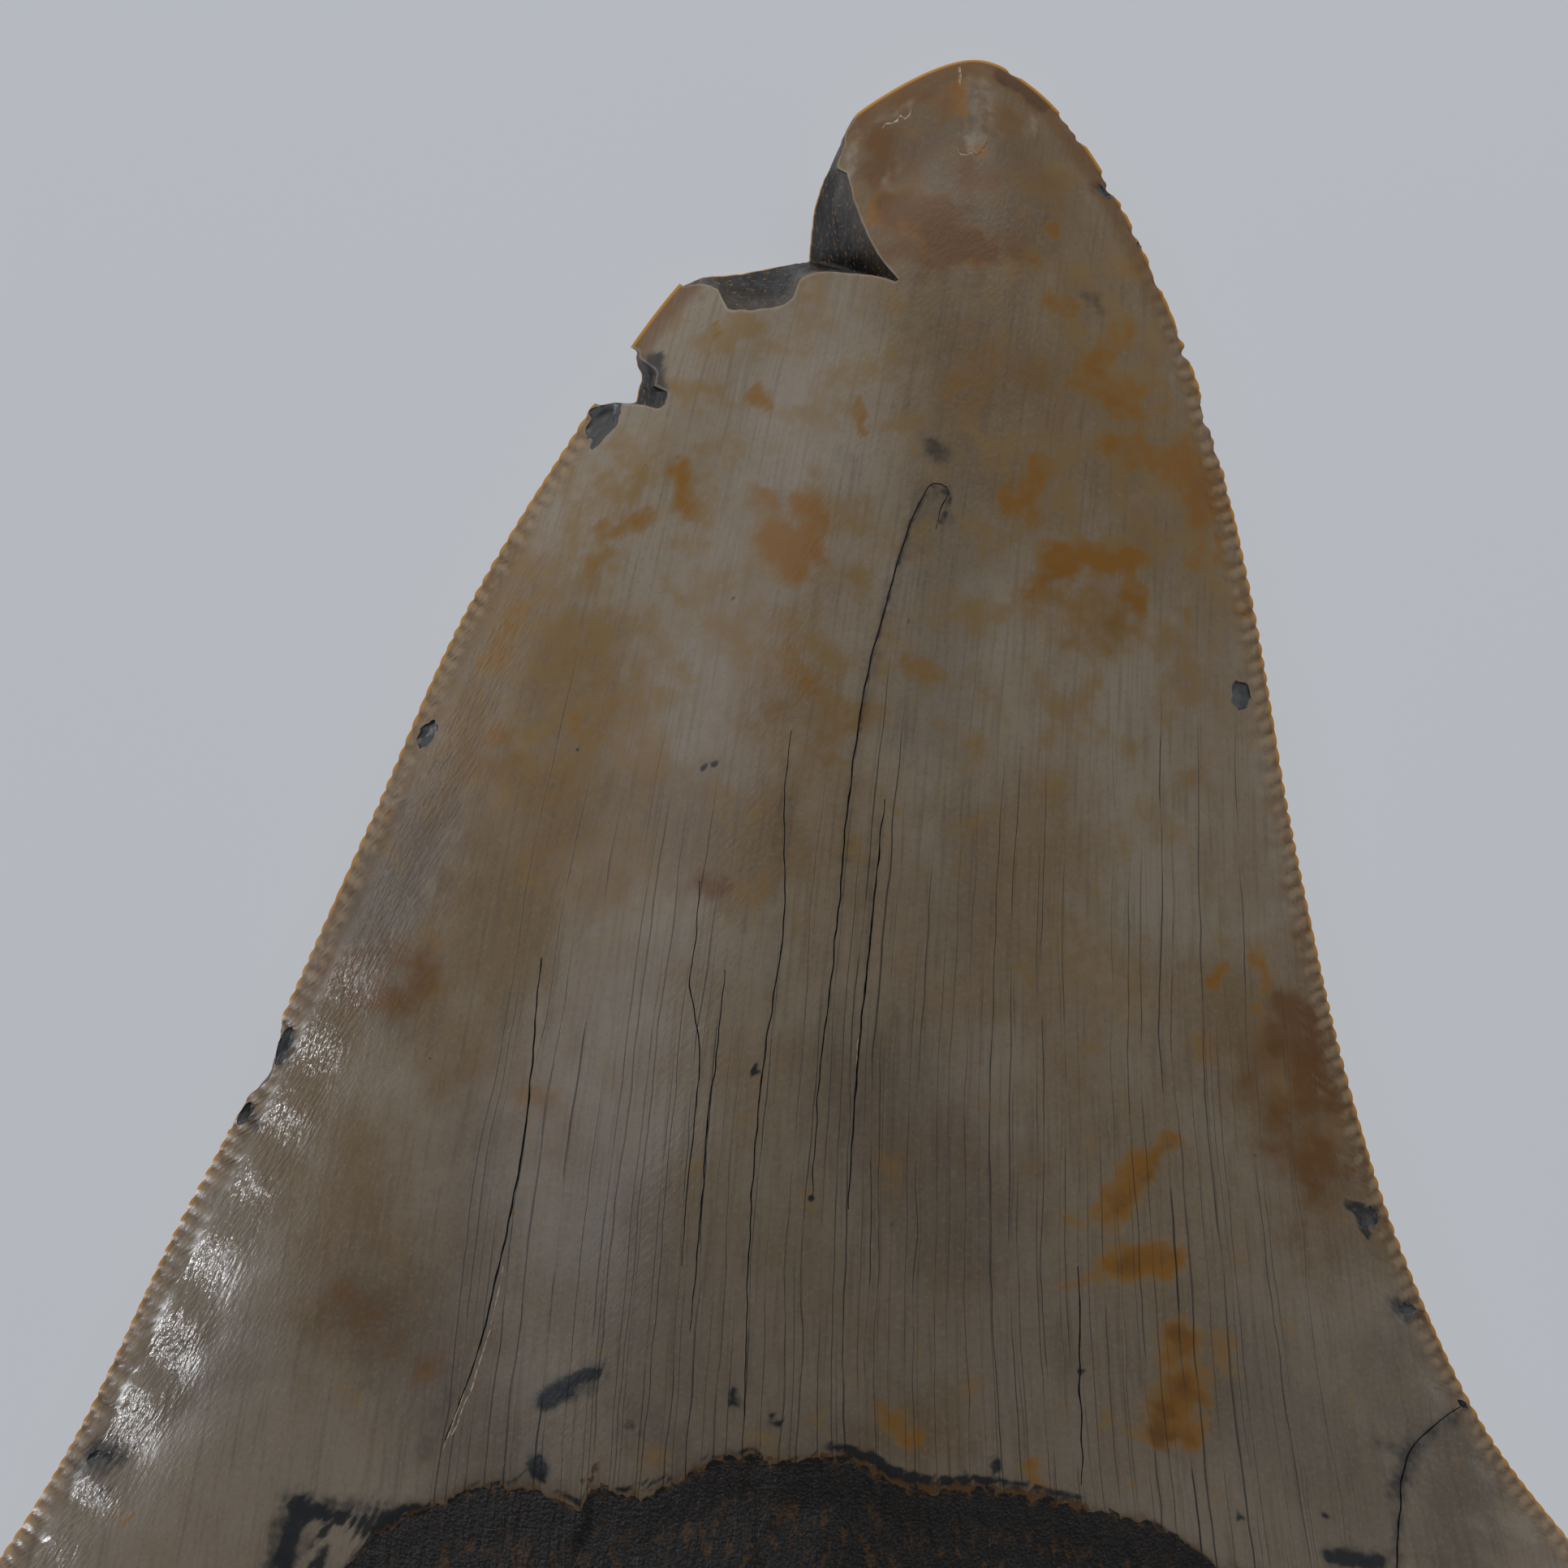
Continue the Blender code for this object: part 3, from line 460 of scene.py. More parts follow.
def tint(name, description, code):
    return FloatVectorProperty(name=name, description=description, subtype="COLOR", size=4,
                               min=0.0, max=1.0, default=colour(code))


def length(name, description, mm, most):
    return FloatProperty(name=name, description=description, subtype="DISTANCE", unit="LENGTH",
                         default=mm * MM, min=0.0, max=most * MM, precision=5)


def amount(name, description, default, **more):
    return FloatProperty(name=name, description=description, default=default, min=0.0, **more)


class ToothSizes(bpy.types.PropertyGroup):
    """Sizes of the tooth's fine relief."""

    serration_depth: length("Serration depth", "How far the edges are notched in", 0.085, 0.3)
    rib_height: length("Rib height", "Height of the ribs beside the cutting edges", 0.15, 0.3)
    rib_reach: length("Rib reach", "How far the ribs run in from the cutting edges", 1.5, 3.0)
    enamel_step: length("Enamel step", "Height of the enamel's foot above the bare band", 0.35, 0.6)
    ripple_height: length("Ripple height", "Height of the ripples along the margins", 0.09, 0.2)
    margin_flare: length("Margin flare", "How far the margins dip beside the edges", 0.24, 0.6)
    root_wear: length("Root wear", "Depth of the worn hollows in the root", 0.35, 1.0)


class ToothColours(bpy.types.PropertyGroup):
    """Colours of the fossil's surfaces."""

    grey_enamel: tint("Grey enamel", "Enamel that stayed palest", "aa9c89")
    tan_enamel: tint("Tan enamel", "Enamel that took up a warm tan", "8f7858")
    # Also laid as painted shade: darker towards the root and in the painted-shade areas.
    shade: tint("Shade", "Enamel over darker dentine", "544b41")
    ochre: tint("Ochre stain", "Rusty stains in the enamel", "9d6a18")
    mottle: tint("Mottle", "Faint yellow mottles round the stains", "9a7d4c")
    brown: tint("Brown shadow", "Soft brown shadows near the edges", "774e1c")
    # Also painted as shadow beside the crack round the right shoulder.
    grey_stain: tint("Blue-grey stain", "Mineral that set along breaks and the foot", "22262b")
    # Also the painted sheen on the upper left of the crown.
    pale: tint("Abraded enamel", "Enamel worn to a pale, dry skin", "ab9c88")
    # Worn paler, and partly a painted highlight on each crest.
    rib: tint("Rib crest", "Crests of the ribs at the cutting edges", "c4aa86")
    # Painted light: the glow of light let through the thin edges, as an amber line.
    amber: tint("Amber rim", "The thin edge that lets light through", "e09a22")
    crack: tint("Crack fill", "Blue-black mineral in the cracks", "1c2026")
    bare_band: tint("Bare band", "Dark dentine below the enamel", "272423")
    band_fleck: tint("Band fleck", "Rusty flecks in the bare band", "64482a")
    root: tint("Root", "The root's dark ground", "39332d")
    root_fleck: tint("Root fleck", "Worn tan places on the root", "857052")
    wall: tint("Broken dentine", "The dark inside of the tooth", "0d0e10")
    wall_haze: tint("Broken dentine haze", "Bluish places on the broken walls", "26282b")
    wall_fleck: tint("Broken dentine fleck", "Rusty specks on the broken walls", "a8761f")
    spall: tint("Spalled enamel", "Bluish floor of the small chips", "55585a")
    # Partly pale enamel, partly a painted highlight on chipped lips and splinters.
    lip: tint("Chipped lip", "Bright enamel on chipped lips", "d8cdbd")
    floor: tint("Floor", "Matt paper under the tooth", "8b8e92")
    glow: tint("Floor glow", "Light in the floor", "bcc0c6")


class StudioSettings(bpy.types.PropertyGroup):
    """The stage around the tooth."""

    floor_glow: amount("Floor glow", "How much light the floor gives off itself", 0.757,
                       subtype="FACTOR", max=1.0)
    room_light: amount("Room light", "Strength of the dim light from all round", 0.20)
    key_light: amount("Key light", "Power of the light beside the left edge", 0.60, unit="POWER")
    sheen_light: amount("Sheen light", "Power of the light at the upper left", 0.15, unit="POWER")
    back_light: amount("Back light", "Power of the broad light past the tip", 0.85, unit="POWER")


def smooth_curve(points, closed, steps):
    """Points along a Catmull-Rom curve, with so many steps to each span."""
    here = np.array(points, float)
    if closed:
        here = np.vstack([here[-1], here, here[:2]])
    else:
        here = np.vstack([2 * here[0] - here[1], here, 2 * here[-1] - here[-2]])
    a, b, c, d = (here[k:len(here) - 3 + k, None, :] for k in range(4))
    t = np.linspace(0, 1, steps, endpoint=False)[None, :, None]
    spans = b + 0.5 * t * (c - a + t * (2 * a - 5 * b + 4 * c - d + t * (3 * (b - c) + d - a)))
    line = spans.reshape(-1, here.shape[1])
    return line if closed else np.vstack([line, here[-2]])


def steps_of(line):
    return np.linalg.norm(np.diff(line, axis=0), axis=1)


def so_far(steps):
    """The length before each step, and the whole length last."""
    return np.concatenate([[0], np.cumsum(steps)])


def walk(line):
    """A function from a share of the line's length, 0 to 1, to the point there."""
    steps = steps_of(line)
    share = so_far(steps) / steps.sum()
    return lambda s: np.stack([np.interp(s, share, line[:, k]) for k in (0, 1)], -1)


def outline_walks():
    """The walks along the root's base, left to right, and up each side in two stretches."""
    left = [LEFT_LOBE_CORNER, *LEFT_ROOT_SIDE, LEFT_SHOULDER, *LEFT_CUTTING_EDGE]
    right = [RIGHT_LOBE_CORNER, *RIGHT_ROOT_SIDE, RIGHT_SHOULDER, *RIGHT_CUTTING_EDGE]
    loop_points = [*left, TIP, *reversed(right), *reversed(ROOT_BASE)]
    loop = smooth_curve(loop_points, True, SPLINE_STEPS)

    def stretch(start, end):
        first = loop_points.index(start) * SPLINE_STEPS
        last = loop_points.index(end) * SPLINE_STEPS
        return np.take(loop, range(first, last + (len(loop) if last < first else 0) + 1),
                       axis=0, mode="wrap")

    return {
        "base": walk(stretch(RIGHT_LOBE_CORNER, LEFT_LOBE_CORNER)[::-1]),
        "left_root": walk(stretch(LEFT_LOBE_CORNER, LEFT_SHOULDER)),
        "left_crown": walk(stretch(LEFT_SHOULDER, TIP)),
        "right_root": walk(stretch(RIGHT_SHOULDER, RIGHT_LOBE_CORNER)[::-1]),
        "right_crown": walk(stretch(TIP, RIGHT_SHOULDER)[::-1]),
    }


WALKS = outline_walks()


def smooth_between(value, low, high):
    t = np.clip((value - low) / (high - low), 0, 1)
    return t * t * (3 - 2 * t)


def swell(value, rise_from, rise_to, fall_from, fall_to):
    """Rises from 0 to 1, stays there and falls back to 0."""
    fall = smooth_between(value, fall_from, fall_to)
    return smooth_between(value, rise_from, rise_to) * (1 - fall)


def at_stations(stations, v):
    """A smooth curve through the stations, with each slope set by its neighbours."""
    where, height = np.array(stations, float).T
    slope = np.gradient(height, where)
    k = np.clip(np.searchsorted(where, v) - 1, 0, len(where) - 2)
    width = where[k + 1] - where[k]
    t = (v - where[k]) / width
    start, end = height[k], height[k + 1]
    bend = t * (1 - t) * width * (slope[k] * (1 - t) - slope[k + 1] * t)
    return start + (end - start) * t * t * (3 - 2 * t) + bend


def edge_point(name, v):
    """The point on the left or right outline at share v of the tooth's length."""
    in_root = WALKS[name + "_root"](np.minimum(v / NECK, 1))
    in_crown = WALKS[name + "_crown"](np.maximum((v - NECK) / (1 - NECK), 0))
    return np.where((v < NECK)[:, None], in_root, in_crown)


def half_width(v):
    return np.linalg.norm(edge_point("right", v) - edge_point("left", v), axis=1) / 2


def plan(u, v):
    """The point in plan: u runs from the left edge, -1, to the right edge, 1."""
    s = ((u + 1) / 2)[:, None]
    across = edge_point("left", v) * (1 - s) + edge_point("right", v) * s
    start = WALKS["base"](0.0) * (1 - s) + WALKS["base"](1.0) * s
    fade = np.clip(1 - v / ARCH_REACH, 0, 1) ** 2
    return across + fade[:, None] * (WALKS["base"]((u + 1) / 2) - start)


def unplan(xy):
    """The u and v of points in plan, found in rounds."""
    low, high = ROOT_BASE[2][1], TIP[1]
    v = np.clip((xy[:, 1] - low) / (high - low), 0.001, 0.999)
    u = np.zeros(len(xy))
    for _ in range(14):
        left, right = edge_point("left", v), edge_point("right", v)
        row = plan(u, v)
        width = np.maximum(right[:, 0] - left[:, 0], 0.05)
        u = np.clip(u + 2 * (xy[:, 0] - row[:, 0]) / width, -1, 1)
        v = np.clip(v + 0.8 * (xy[:, 1] - plan(u, v)[:, 1]) / (high - low), 0, 1)
    return u, v


def base_rounding(v):
    return np.sqrt(1 - np.clip(1 - v / BASE_ROUNDING, 0, 1) ** 2)


def seen(points):
    """The photo's pixel in which the camera sees each point."""
    scale = CAMERA_DISTANCE / (CAMERA_DISTANCE + EDGE_HEIGHT - points[:, 2]) / MM_PER_PIXEL
    across = PHOTO_MIDDLE + (points[:, 0] - VIEW_CENTRE[0]) * scale
    down = PHOTO_MIDDLE - (points[:, 1] - VIEW_CENTRE[1]) * scale
    return np.stack([across, down], -1)


def under(pixel, height):
    """The place in plan of a point that the camera sees in this pixel at this height."""
    scale = MM_PER_PIXEL * (CAMERA_DISTANCE + EDGE_HEIGHT - height) / CAMERA_DISTANCE
    return ((pixel[0] - PHOTO_MIDDLE) * scale + VIEW_CENTRE[0],
            (PHOTO_MIDDLE - pixel[1]) * scale + VIEW_CENTRE[1])


def noise_at(points, size, seed, detail=2):
    """Soft noise from -1 to 1 whose lumps are about size across."""
    shift = Vector((7.31 * seed, 3.17 * seed, 5.93 * seed))
    return np.array([noise.fractal(Vector(p) / size + shift, *ROUGH, detail) for p in points])


def band_height(points):
    """How tall the bare band below the enamel is at each point."""
    return BAND_HEIGHT * np.clip(1 - (points[:, 0] / BAND_HALF_LENGTH) ** 2, 0, 1)


def bare_form(u, v):
    """The lingual face's height without the band, the enamel's step and the fine relief."""
    rim = at_stations(RIM_HEIGHT, v)
    lobes = ROOT_SHELF * np.sqrt(1 - np.abs(u) ** ROOT_FULLNESS)
    boss = ROOT_BOSS * np.exp(-((u / BOSS_HALF_WIDTH) ** 2)) * (1 - u**2)
    crown = (at_stations(CREST_HEIGHT, v) - rim) * (1 - np.abs(u) ** CROWN_FULLNESS)
    mix = smooth_between(v, *ROOT_TO_CROWN)
    return rim + (lobes + boss) * base_rounding(v) * (1 - mix) + crown * mix


def labial_form(u, v):
    rim = at_stations(RIM_HEIGHT, v)
    root = np.sqrt(1 - np.abs(u) ** ROOT_FULLNESS) * base_rounding(v)
    crown = 1 - np.abs(u) ** LABIAL_FULLNESS
    mix = smooth_between(v, *ROOT_TO_CROWN)
    depth = (rim - at_stations(TROUGH_HEIGHT, v)) * (root * (1 - mix) + crown * mix)
    return np.maximum(rim - depth, 0)


def foot_share(u, lingual):
    """The share v at which the enamel starts in each column."""
    line = np.array(ENAMEL_FOOT, float).T
    low, high = np.full(len(u), 0.1), np.full(len(u), 0.5)
    for _ in range(30):
        v = (low + high) / 2
        pixel = seen(np.column_stack([plan(u, v), bare_form(u, v)]))
        ragged = 5.0 * np.sin(pixel[:, 0] / 4.1) * np.sin(pixel[:, 0] / 11.7)
        above = pixel[:, 1] < np.interp(pixel[:, 0], *line) + ragged
        high = np.where(above, v, high)
        low = np.where(above, low, v)
    wanted = np.where(lingual, v, NECK + 0.012 * (1 - u**2) + 0.003 * np.sin(9 * u))
    return NECK + (wanted - NECK) * (1 - np.abs(u) ** 12)


def serrated(u, v):
    """1 where the cutting edge is serrated, fading to 0 at the shoulder and the tip."""
    crown = (v - NECK) / (1 - NECK)
    faded = np.where(u < 0, smooth_between(crown, *SERRATED_TO["left"]),
                     smooth_between(crown, *SERRATED_TO["right"]))
    return smooth_between(crown, SERRATED_FROM, SERRATED_FROM + 0.03) * (1 - faded)


def rib_count(u, v):
    """How many ribs lie below each point, in unequal steps and square to the leaning edge."""
    crown = (v - NECK) / (1 - NECK) + RIB_LEAN * half_width(v) * (1 - np.abs(u)) / LENGTH
    return crown * SERRATIONS + 0.22 * np.sin(23 * crown + 2 * u) + 0.15 * np.sin(71 * crown)


def rib_wave(u, v):
    """The ribs beside the edges, 1 on a rib and 0 in the groove between two ribs."""
    return np.abs(np.sin(np.pi * rib_count(u, v))) ** 0.8


def column_share(place, half, columns, band_columns, band):
    """u for a column's place, -1 to 1, with fine columns in the band beside each edge."""
    last = 1 - 2 * band_columns / columns
    inner = 1 - np.minimum(band / half, 2 * band_columns / columns)
    inside = np.clip(np.abs(place) / last, 0, 1) * inner
    in_band = inner + (np.abs(place) - last) / (1 - last) * (1 - inner)
    return np.sign(place) * np.where(np.abs(place) > last, in_band, inside)


def tooth_grid():
    """A flat grid that stands for both faces, with its serrated edges cut finer."""
    columns, rows = LINGUAL_COLUMNS + LABIAL_COLUMNS, ROOT_ROWS + 1 + CROWN_ROWS
    bm = bmesh.new()
    bmesh.ops.create_grid(bm, x_segments=columns, y_segments=rows, size=0.5)
    bmesh.ops.translate(bm, verts=bm.verts, vec=(0.5, 0.5, 0))
    bmesh.ops.scale(bm, verts=bm.verts, vec=(columns, rows, 1))
    near, far = RIM_COLUMNS["lingual"], RIM_COLUMNS["labial"]
    fine = [(0, near), (LINGUAL_COLUMNS - near, LINGUAL_COLUMNS + far), (columns - far, columns)]
    edges = [
        edge for edge in bm.edges
        if abs(edge.verts[0].co.x - edge.verts[1].co.x) < 0.01
        and any(low - 0.01 < edge.verts[0].co.x < high + 0.01 for low, high in fine)
        and min(v.co.y for v in edge.verts) > ROOT_ROWS + 0.5
    ]
    bmesh.ops.subdivide_edges(bm, edges=edges, cuts=SAMPLES_PER_ROW - 1, use_grid_fill=True)
    return bm


def relief(u, v, xy, lingual, foot, sizes):
    """How much the fine relief lifts each point of the smooth form."""
    reach, step_height = sizes.rib_reach / MM, sizes.enamel_step / MM
    rim_mm = half_width(v) * (1 - np.abs(u)) * SQUARE_TO_EDGE
    up_mm = (v - foot) * LENGTH
    enamel = smooth_between(up_mm, -FOOT_SLOPE, FOOT_SLOPE)
    points = np.column_stack([xy, np.where(lingual, 0, NOISE_APART)])

    # No two ribs are worn to the same height or run in equally far.
    each = noise_at(np.column_stack([rib_count(u, v), np.sign(u), np.zeros(len(u))]), 1.3, 1, 1)
    reach = reach * (1 + 0.5 * each)
    ribs = sizes.rib_height / MM * (rib_wave(u, v) - 1) * serrated(u, v) * (0.75 + 0.6 * each)
    ribs *= 1 - smooth_between(rim_mm, 0.45 * reach, reach)

    row = PHOTO_ZERO_ROW - (xy[:, 1] + RIPPLE_LEAN * rim_mm) / MM_PER_PIXEL + RIPPLE_LAG
    wave = 2 * np.pi * np.interp(row, RIPPLE_ROWS, range(len(RIPPLE_ROWS)))
    grown = 0.6 + 0.8 * smooth_between(row, *RIPPLES_GROW)
    ripple = sizes.ripple_height / MM * np.cos(wave) * grown
    ripple *= (swell(rim_mm, *RIPPLED_MARGIN) * (1 - smooth_between(v, *RIPPLES_END))
               * np.where(lingual, 1, 0.4))
    soft = SOFT_LUMP[1] * noise_at(points, SOFT_LUMP[0], 2, 2) * smooth_between(rim_mm, 4, 8)
    dip = smooth_between(rim_mm, 0, FLARE_REACH)
    flare = sizes.margin_flare / MM * dip * (1 - smooth_between(v, *FLARE_ENDS)) * lingual

    band = band_height(xy)
    in_band = (1 - enamel) * smooth_between(up_mm, -band - BAND_BLUR, -band + BAND_BLUR)
    step = step_height + (BAND_DEPTH - step_height) * smooth_between(-up_mm, 0, 2.5)
    labial_step = LABIAL_STEP * (1 - enamel) * smooth_between(up_mm, -1.5, 0)
    groove = np.where(lingual, step * in_band, labial_step)
    groove *= 1 - u**8
    thinned = FOOT_THINNED * enamel * (1 - smooth_between(up_mm, 0, 0.7)) * (1 - u**8)

    # The root is worn into hollows and pitted, and the band's fibres stand upright.
    worn = sizes.root_wear / MM * np.abs(noise_at(points, HOLLOW_SIZE, 3, 4))
    worn += PIT[1] * np.maximum(noise_at(points, PIT[0], 4, 3) - 0.1, 0)
    fibres = FIBRE[1] * noise_at(points * (1, 0.16, 1), FIBRE[0], 5, 2)
    rough = (1 - enamel) * (np.where(in_band > 0.5, 0.35, 1.0) * worn + fibres * in_band)
    rough *= smooth_between(rim_mm, 0, 1.5) * 0.7 + 0.3

    lift = ripple + (soft + ribs - flare) * enamel - groove - thinned - rough
    return np.where(lingual, lift, -lift)


def face_outwards(bm):
    bmesh.ops.recalc_face_normals(bm, faces=bm.faces)
    if bm.calc_volume(signed=True) < 0:
        bmesh.ops.reverse_faces(bm, faces=bm.faces)


def shape_tooth(bm, sizes):
    """Bends the flat grid into the tooth and welds its seams."""
    column, row = np.array([v.co for v in bm.verts])[:, :2].T
    lingual = column <= LINGUAL_COLUMNS + 0.01
    back = LINGUAL_COLUMNS + LABIAL_COLUMNS - column
    place = np.where(lingual, column * 2 / LINGUAL_COLUMNS, back * 2 / LABIAL_COLUMNS) - 1
    place = np.clip(place, -1, 1)
    in_crown = row >= ROOT_ROWS + 1
    v = np.clip(row / (ROOT_ROWS + 1 + CROWN_ROWS), 0, 1)
    # The columns hang on the width, and the rows on the enamel's foot in each column.
    for _ in range(3):
        u = np.where(lingual, *(
            column_share(place, half_width(v) + 1e-6, columns, RIM_COLUMNS[face], RIM_BAND[face])
            for face, columns in (("lingual", LINGUAL_COLUMNS), ("labial", LABIAL_COLUMNS))))
        foot = foot_share(u, lingual)
        root = (foot - SEAM_GAP) * np.clip(row / ROOT_ROWS, 0, 1) ** 1.3
        crown = foot + (1 - foot) * (row - ROOT_ROWS - 1) / CROWN_ROWS
        v = np.clip(np.where(in_crown, crown, root), 0, 1)
    u = np.clip(u, -1, 1)
    xy = plan(u, v)
    at_edge = np.abs(u) > 1 - 1e-6
    height = np.where(lingual, bare_form(u, v), labial_form(u, v))
    height += relief(u, v, xy, lingual, foot, sizes) * ~at_edge
    height = np.where(at_edge, at_stations(RIM_HEIGHT, v), height)
    height = np.where(lingual, height, np.maximum(height, 0))
    notch = sizes.serration_depth / MM * serrated(u, v) * (1 - rib_wave(u, v))
    notch *= 0.6 + 0.8 * np.abs(np.sin(37 * v))
    nicks = np.maximum(noise_at(np.column_stack([v * LENGTH, 0 * v, 0 * v]), 0.9, 21, 2), 0)
    nicks *= swell(v, *NICKED_EDGE) * (u > 0)
    notch += NICK_DEPTH * nicks
    xy[:, 0] -= np.sign(u) * notch * (1 - smooth_between(half_width(v) * (1 - np.abs(u)), 0, 0.5))
    for vert, (x, y), z in zip(bm.verts, xy, height):
        vert.co = (x, y, z)
    bmesh.ops.remove_doubles(bm, verts=bm.verts, dist=WELD)
    face_outwards(bm)


def face_at(surface, place, from_above):
    """The height and the normal of the lingual or labial face at a place in plan."""
    way = -1 if from_above else 1
    hit, normal = surface.ray_cast(Vector((*place, -100 * way)), Vector((0, 0, way)))[:2]
    return (hit.z, normal) if hit else (RIM_HEIGHT[-1][1], Vector((0, 0, -way)))


def settled(surface, pixel, from_above):
    """The point of the face that the camera sees in this pixel, and the normal there."""
    height = EDGE_HEIGHT
    for _ in range(4):
        place = under(pixel, height)
        height, normal = face_at(surface, place, from_above)
    return Vector((*place, height)), normal


def break_cutter(surface, wall):
    """A block whose one side is the broken wall, rippled as split dentine is."""
    lines = [smooth_curve([settled(surface, pixel, name == "head")[0] for pixel in wall[name]],
                          False, 6) for name in ("foot", "head")]
    along = so_far(sum(steps_of(line) for line in lines)) / 2
    outward = Vector((*wall["outward"], 0))
    facing = outward.normalized()
    bm = bmesh.new()
    bmesh.ops.create_grid(bm, x_segments=int(along[-1] / WALL_GRAIN), y_segments=WALL_STEPS_UP,
                          size=0.5)
    for vert in bm.verts:
        at = (vert.co.x + 0.5) * along[-1]
        t = -WALL_OVERRUN + (1 + 2 * WALL_OVERRUN) * (vert.co.y + 0.5)
        low, high = (Vector([np.interp(at, along, line[:, k]) for k in range(3)])
                     for line in lines)
        rise = high - low
        if rise.z < LEAST_RISE:
            rise = Vector((rise.x * 0.6, rise.y * 0.6, LEAST_RISE))
        inside = min(max(t, 0), 1)
        point = low + rise * t
        lump = 0.10 * noise.fractal(point * 0.9, *ROUGH, 3) + 0.05 * np.sin(9 * t + at)
        striae = 0.05 * noise.noise(Vector((at * 2.4, t * 0.8, 3.0)))
        bow = WALL_BOW * inside * (1 - inside)
        vert.co = point - facing * (bow + (lump + striae) * min(1, max(0, 1.2 - abs(t - 0.5))))
    thick = bmesh.ops.extrude_face_region(bm, geom=bm.faces[:])["geom"]
    thick = [part for part in thick if isinstance(part, bmesh.types.BMVert)]
    bmesh.ops.translate(bm, vec=outward, verts=thick)
    return bm


def lumpy_ball(lump, grain, shift, detail):
    """A ball 1 in radius with lumps this high and this fine."""
    bm = bmesh.new()
    bmesh.ops.create_icosphere(bm, subdivisions=4, radius=1)
    for vert in bm.verts:
        vert.co *= 1 + lump * noise.fractal(vert.co * grain + shift, *ROUGH, detail)
    return bm


def spall_cutter(surface, place):
    """A lumpy lens that lies flat on the face and bites a shallow chip out of it."""
    x, y, long_radius, short_radius, turn, depth = place
    middle, normal = settled(surface, (x, y), True)
    bm = lumpy_ball(0.26, 1.6, middle, 2)
    # A lens whose middle is 1.5 depths up cuts four fifths of its own width.
    bmesh.ops.scale(bm, vec=(long_radius / 0.8, short_radius / 0.8, depth / 0.4), verts=bm.verts)
    bmesh.ops.translate(bm, vec=(0, 0, 1.5 * depth), verts=bm.verts)
    for matrix in (Matrix.Rotation(np.radians(turn), 3, "Z"),
                   Vector((0, 0, 1)).rotation_difference(normal).to_matrix()):
        bmesh.ops.rotate(bm, matrix=matrix, verts=bm.verts)
    bmesh.ops.translate(bm, vec=middle, verts=bm.verts)
    return bm


def foramen_cutter(surface):
    """The nutrient pit in the root's middle ridge."""
    height = face_at(surface, FORAMEN, True)[0]
    bm = lumpy_ball(0.15, 1.2, Vector(), 3)
    bmesh.ops.scale(bm, vec=(FORAMEN_RADIUS, 1.4 * FORAMEN_RADIUS, FORAMEN_DEPTH), verts=bm.verts)
    bmesh.ops.translate(bm, vec=(*FORAMEN, height), verts=bm.verts)
    return bm


def crack_cutter(surface, width, line, seed, depth):
    """A thin wedge along a crack's line, which scores an open groove."""
    line = smooth_curve(line, False, 4)
    along = so_far(steps_of(line))
    count = max(6, int(along[-1] * MM_PER_PIXEL / CRACK_STEP))
    bm = bmesh.new()
    bmesh.ops.create_cone(bm, cap_ends=True, segments=3, radius1=1, radius2=1, depth=2)
    long_edges = [e for e in bm.edges if abs(e.verts[0].co.z - e.verts[1].co.z) > 1]
    bmesh.ops.subdivide_edges(bm, edges=long_edges, cuts=count - 1)
    corners = sorted({round(np.arctan2(v.co.y, v.co.x), 2) for v in bm.verts})
    centres = []
    for k in range(count + 1):
        at = along[-1] * k / count
        pixel = [np.interp(at, along, line[:, axis]) for axis in (0, 1)]
        pixel[0] += CRACK_SWAY * noise.noise(Vector((at / SWAY_LENGTH, seed, 0)))
        centres.append(settled(surface, pixel, True)[0])
    for vert in bm.verts:
        k = int(round((vert.co.z + 1) / 2 * count))
        corner = corners.index(round(np.arctan2(vert.co.y, vert.co.x), 2))
        before, after = centres[max(k - 1, 0)], centres[min(k + 1, count)]
        ahead = (after - before).normalized()
        across = ahead.cross(Vector((0, 0, 1))).normalized()
        up = across.cross(ahead).normalized()
        open_here = width * (0.35 + 0.65 * np.sin(np.pi * min(max(k / count, 0.04), 0.96)) ** 0.5)
        open_here *= 1 + 0.5 * noise.noise(Vector((k * 0.4, seed, 9)))
        aside, lift = ((0, -depth), (-1.2, 0.5), (1.2, 0.5))[corner]
        vert.co = centres[k] + across * aside * open_here / 2 + up * lift * open_here
    return bm


def mesh_of(bm, name):
    """A new mesh of the bmesh's shape, which is freed."""
    mesh = bpy.data.meshes.new(name)
    bm.to_mesh(mesh)
    bm.free()
    return mesh


def give_surfaces(mesh):
    for maker in MAKERS:
        mesh.materials.append(bpy.data.materials[maker.__name__])


def cutter_object(parts, maker):
    """One object that holds several cutters that don't touch each other."""
    whole = bmesh.new()
    for bm in parts:
        face_outwards(bm)
        piece = mesh_of(bm, "cutter_part")
        whole.from_mesh(piece)
        bpy.data.meshes.remove(piece)
    mesh = mesh_of(whole, "cutter")
    give_surfaces(mesh)
    index = [MAKERS.index(maker)] * len(mesh.polygons)
    mesh.polygons.foreach_set("material_index", index)
    return bpy.data.objects.new("cutter", mesh)


def stroke_field(pixels, strokes):
    """How strongly the strokes mark each point: their strength, and half of it at an edge."""
    field = np.zeros(len(pixels))
    for x0, y0, x1, y1, half, strength in strokes:
        start, run = np.array([x0, y0], float), np.array([x1 - x0, y1 - y0], float)
        share = np.clip((pixels - start) @ run / max(run @ run, 1e-6), 0, 1)
        gap = np.linalg.norm(pixels - start - share[:, None] * run, axis=1) / half
        field = np.maximum(field, strength * (1 - smooth_between(gap, *STROKE_FADE)))
    return field


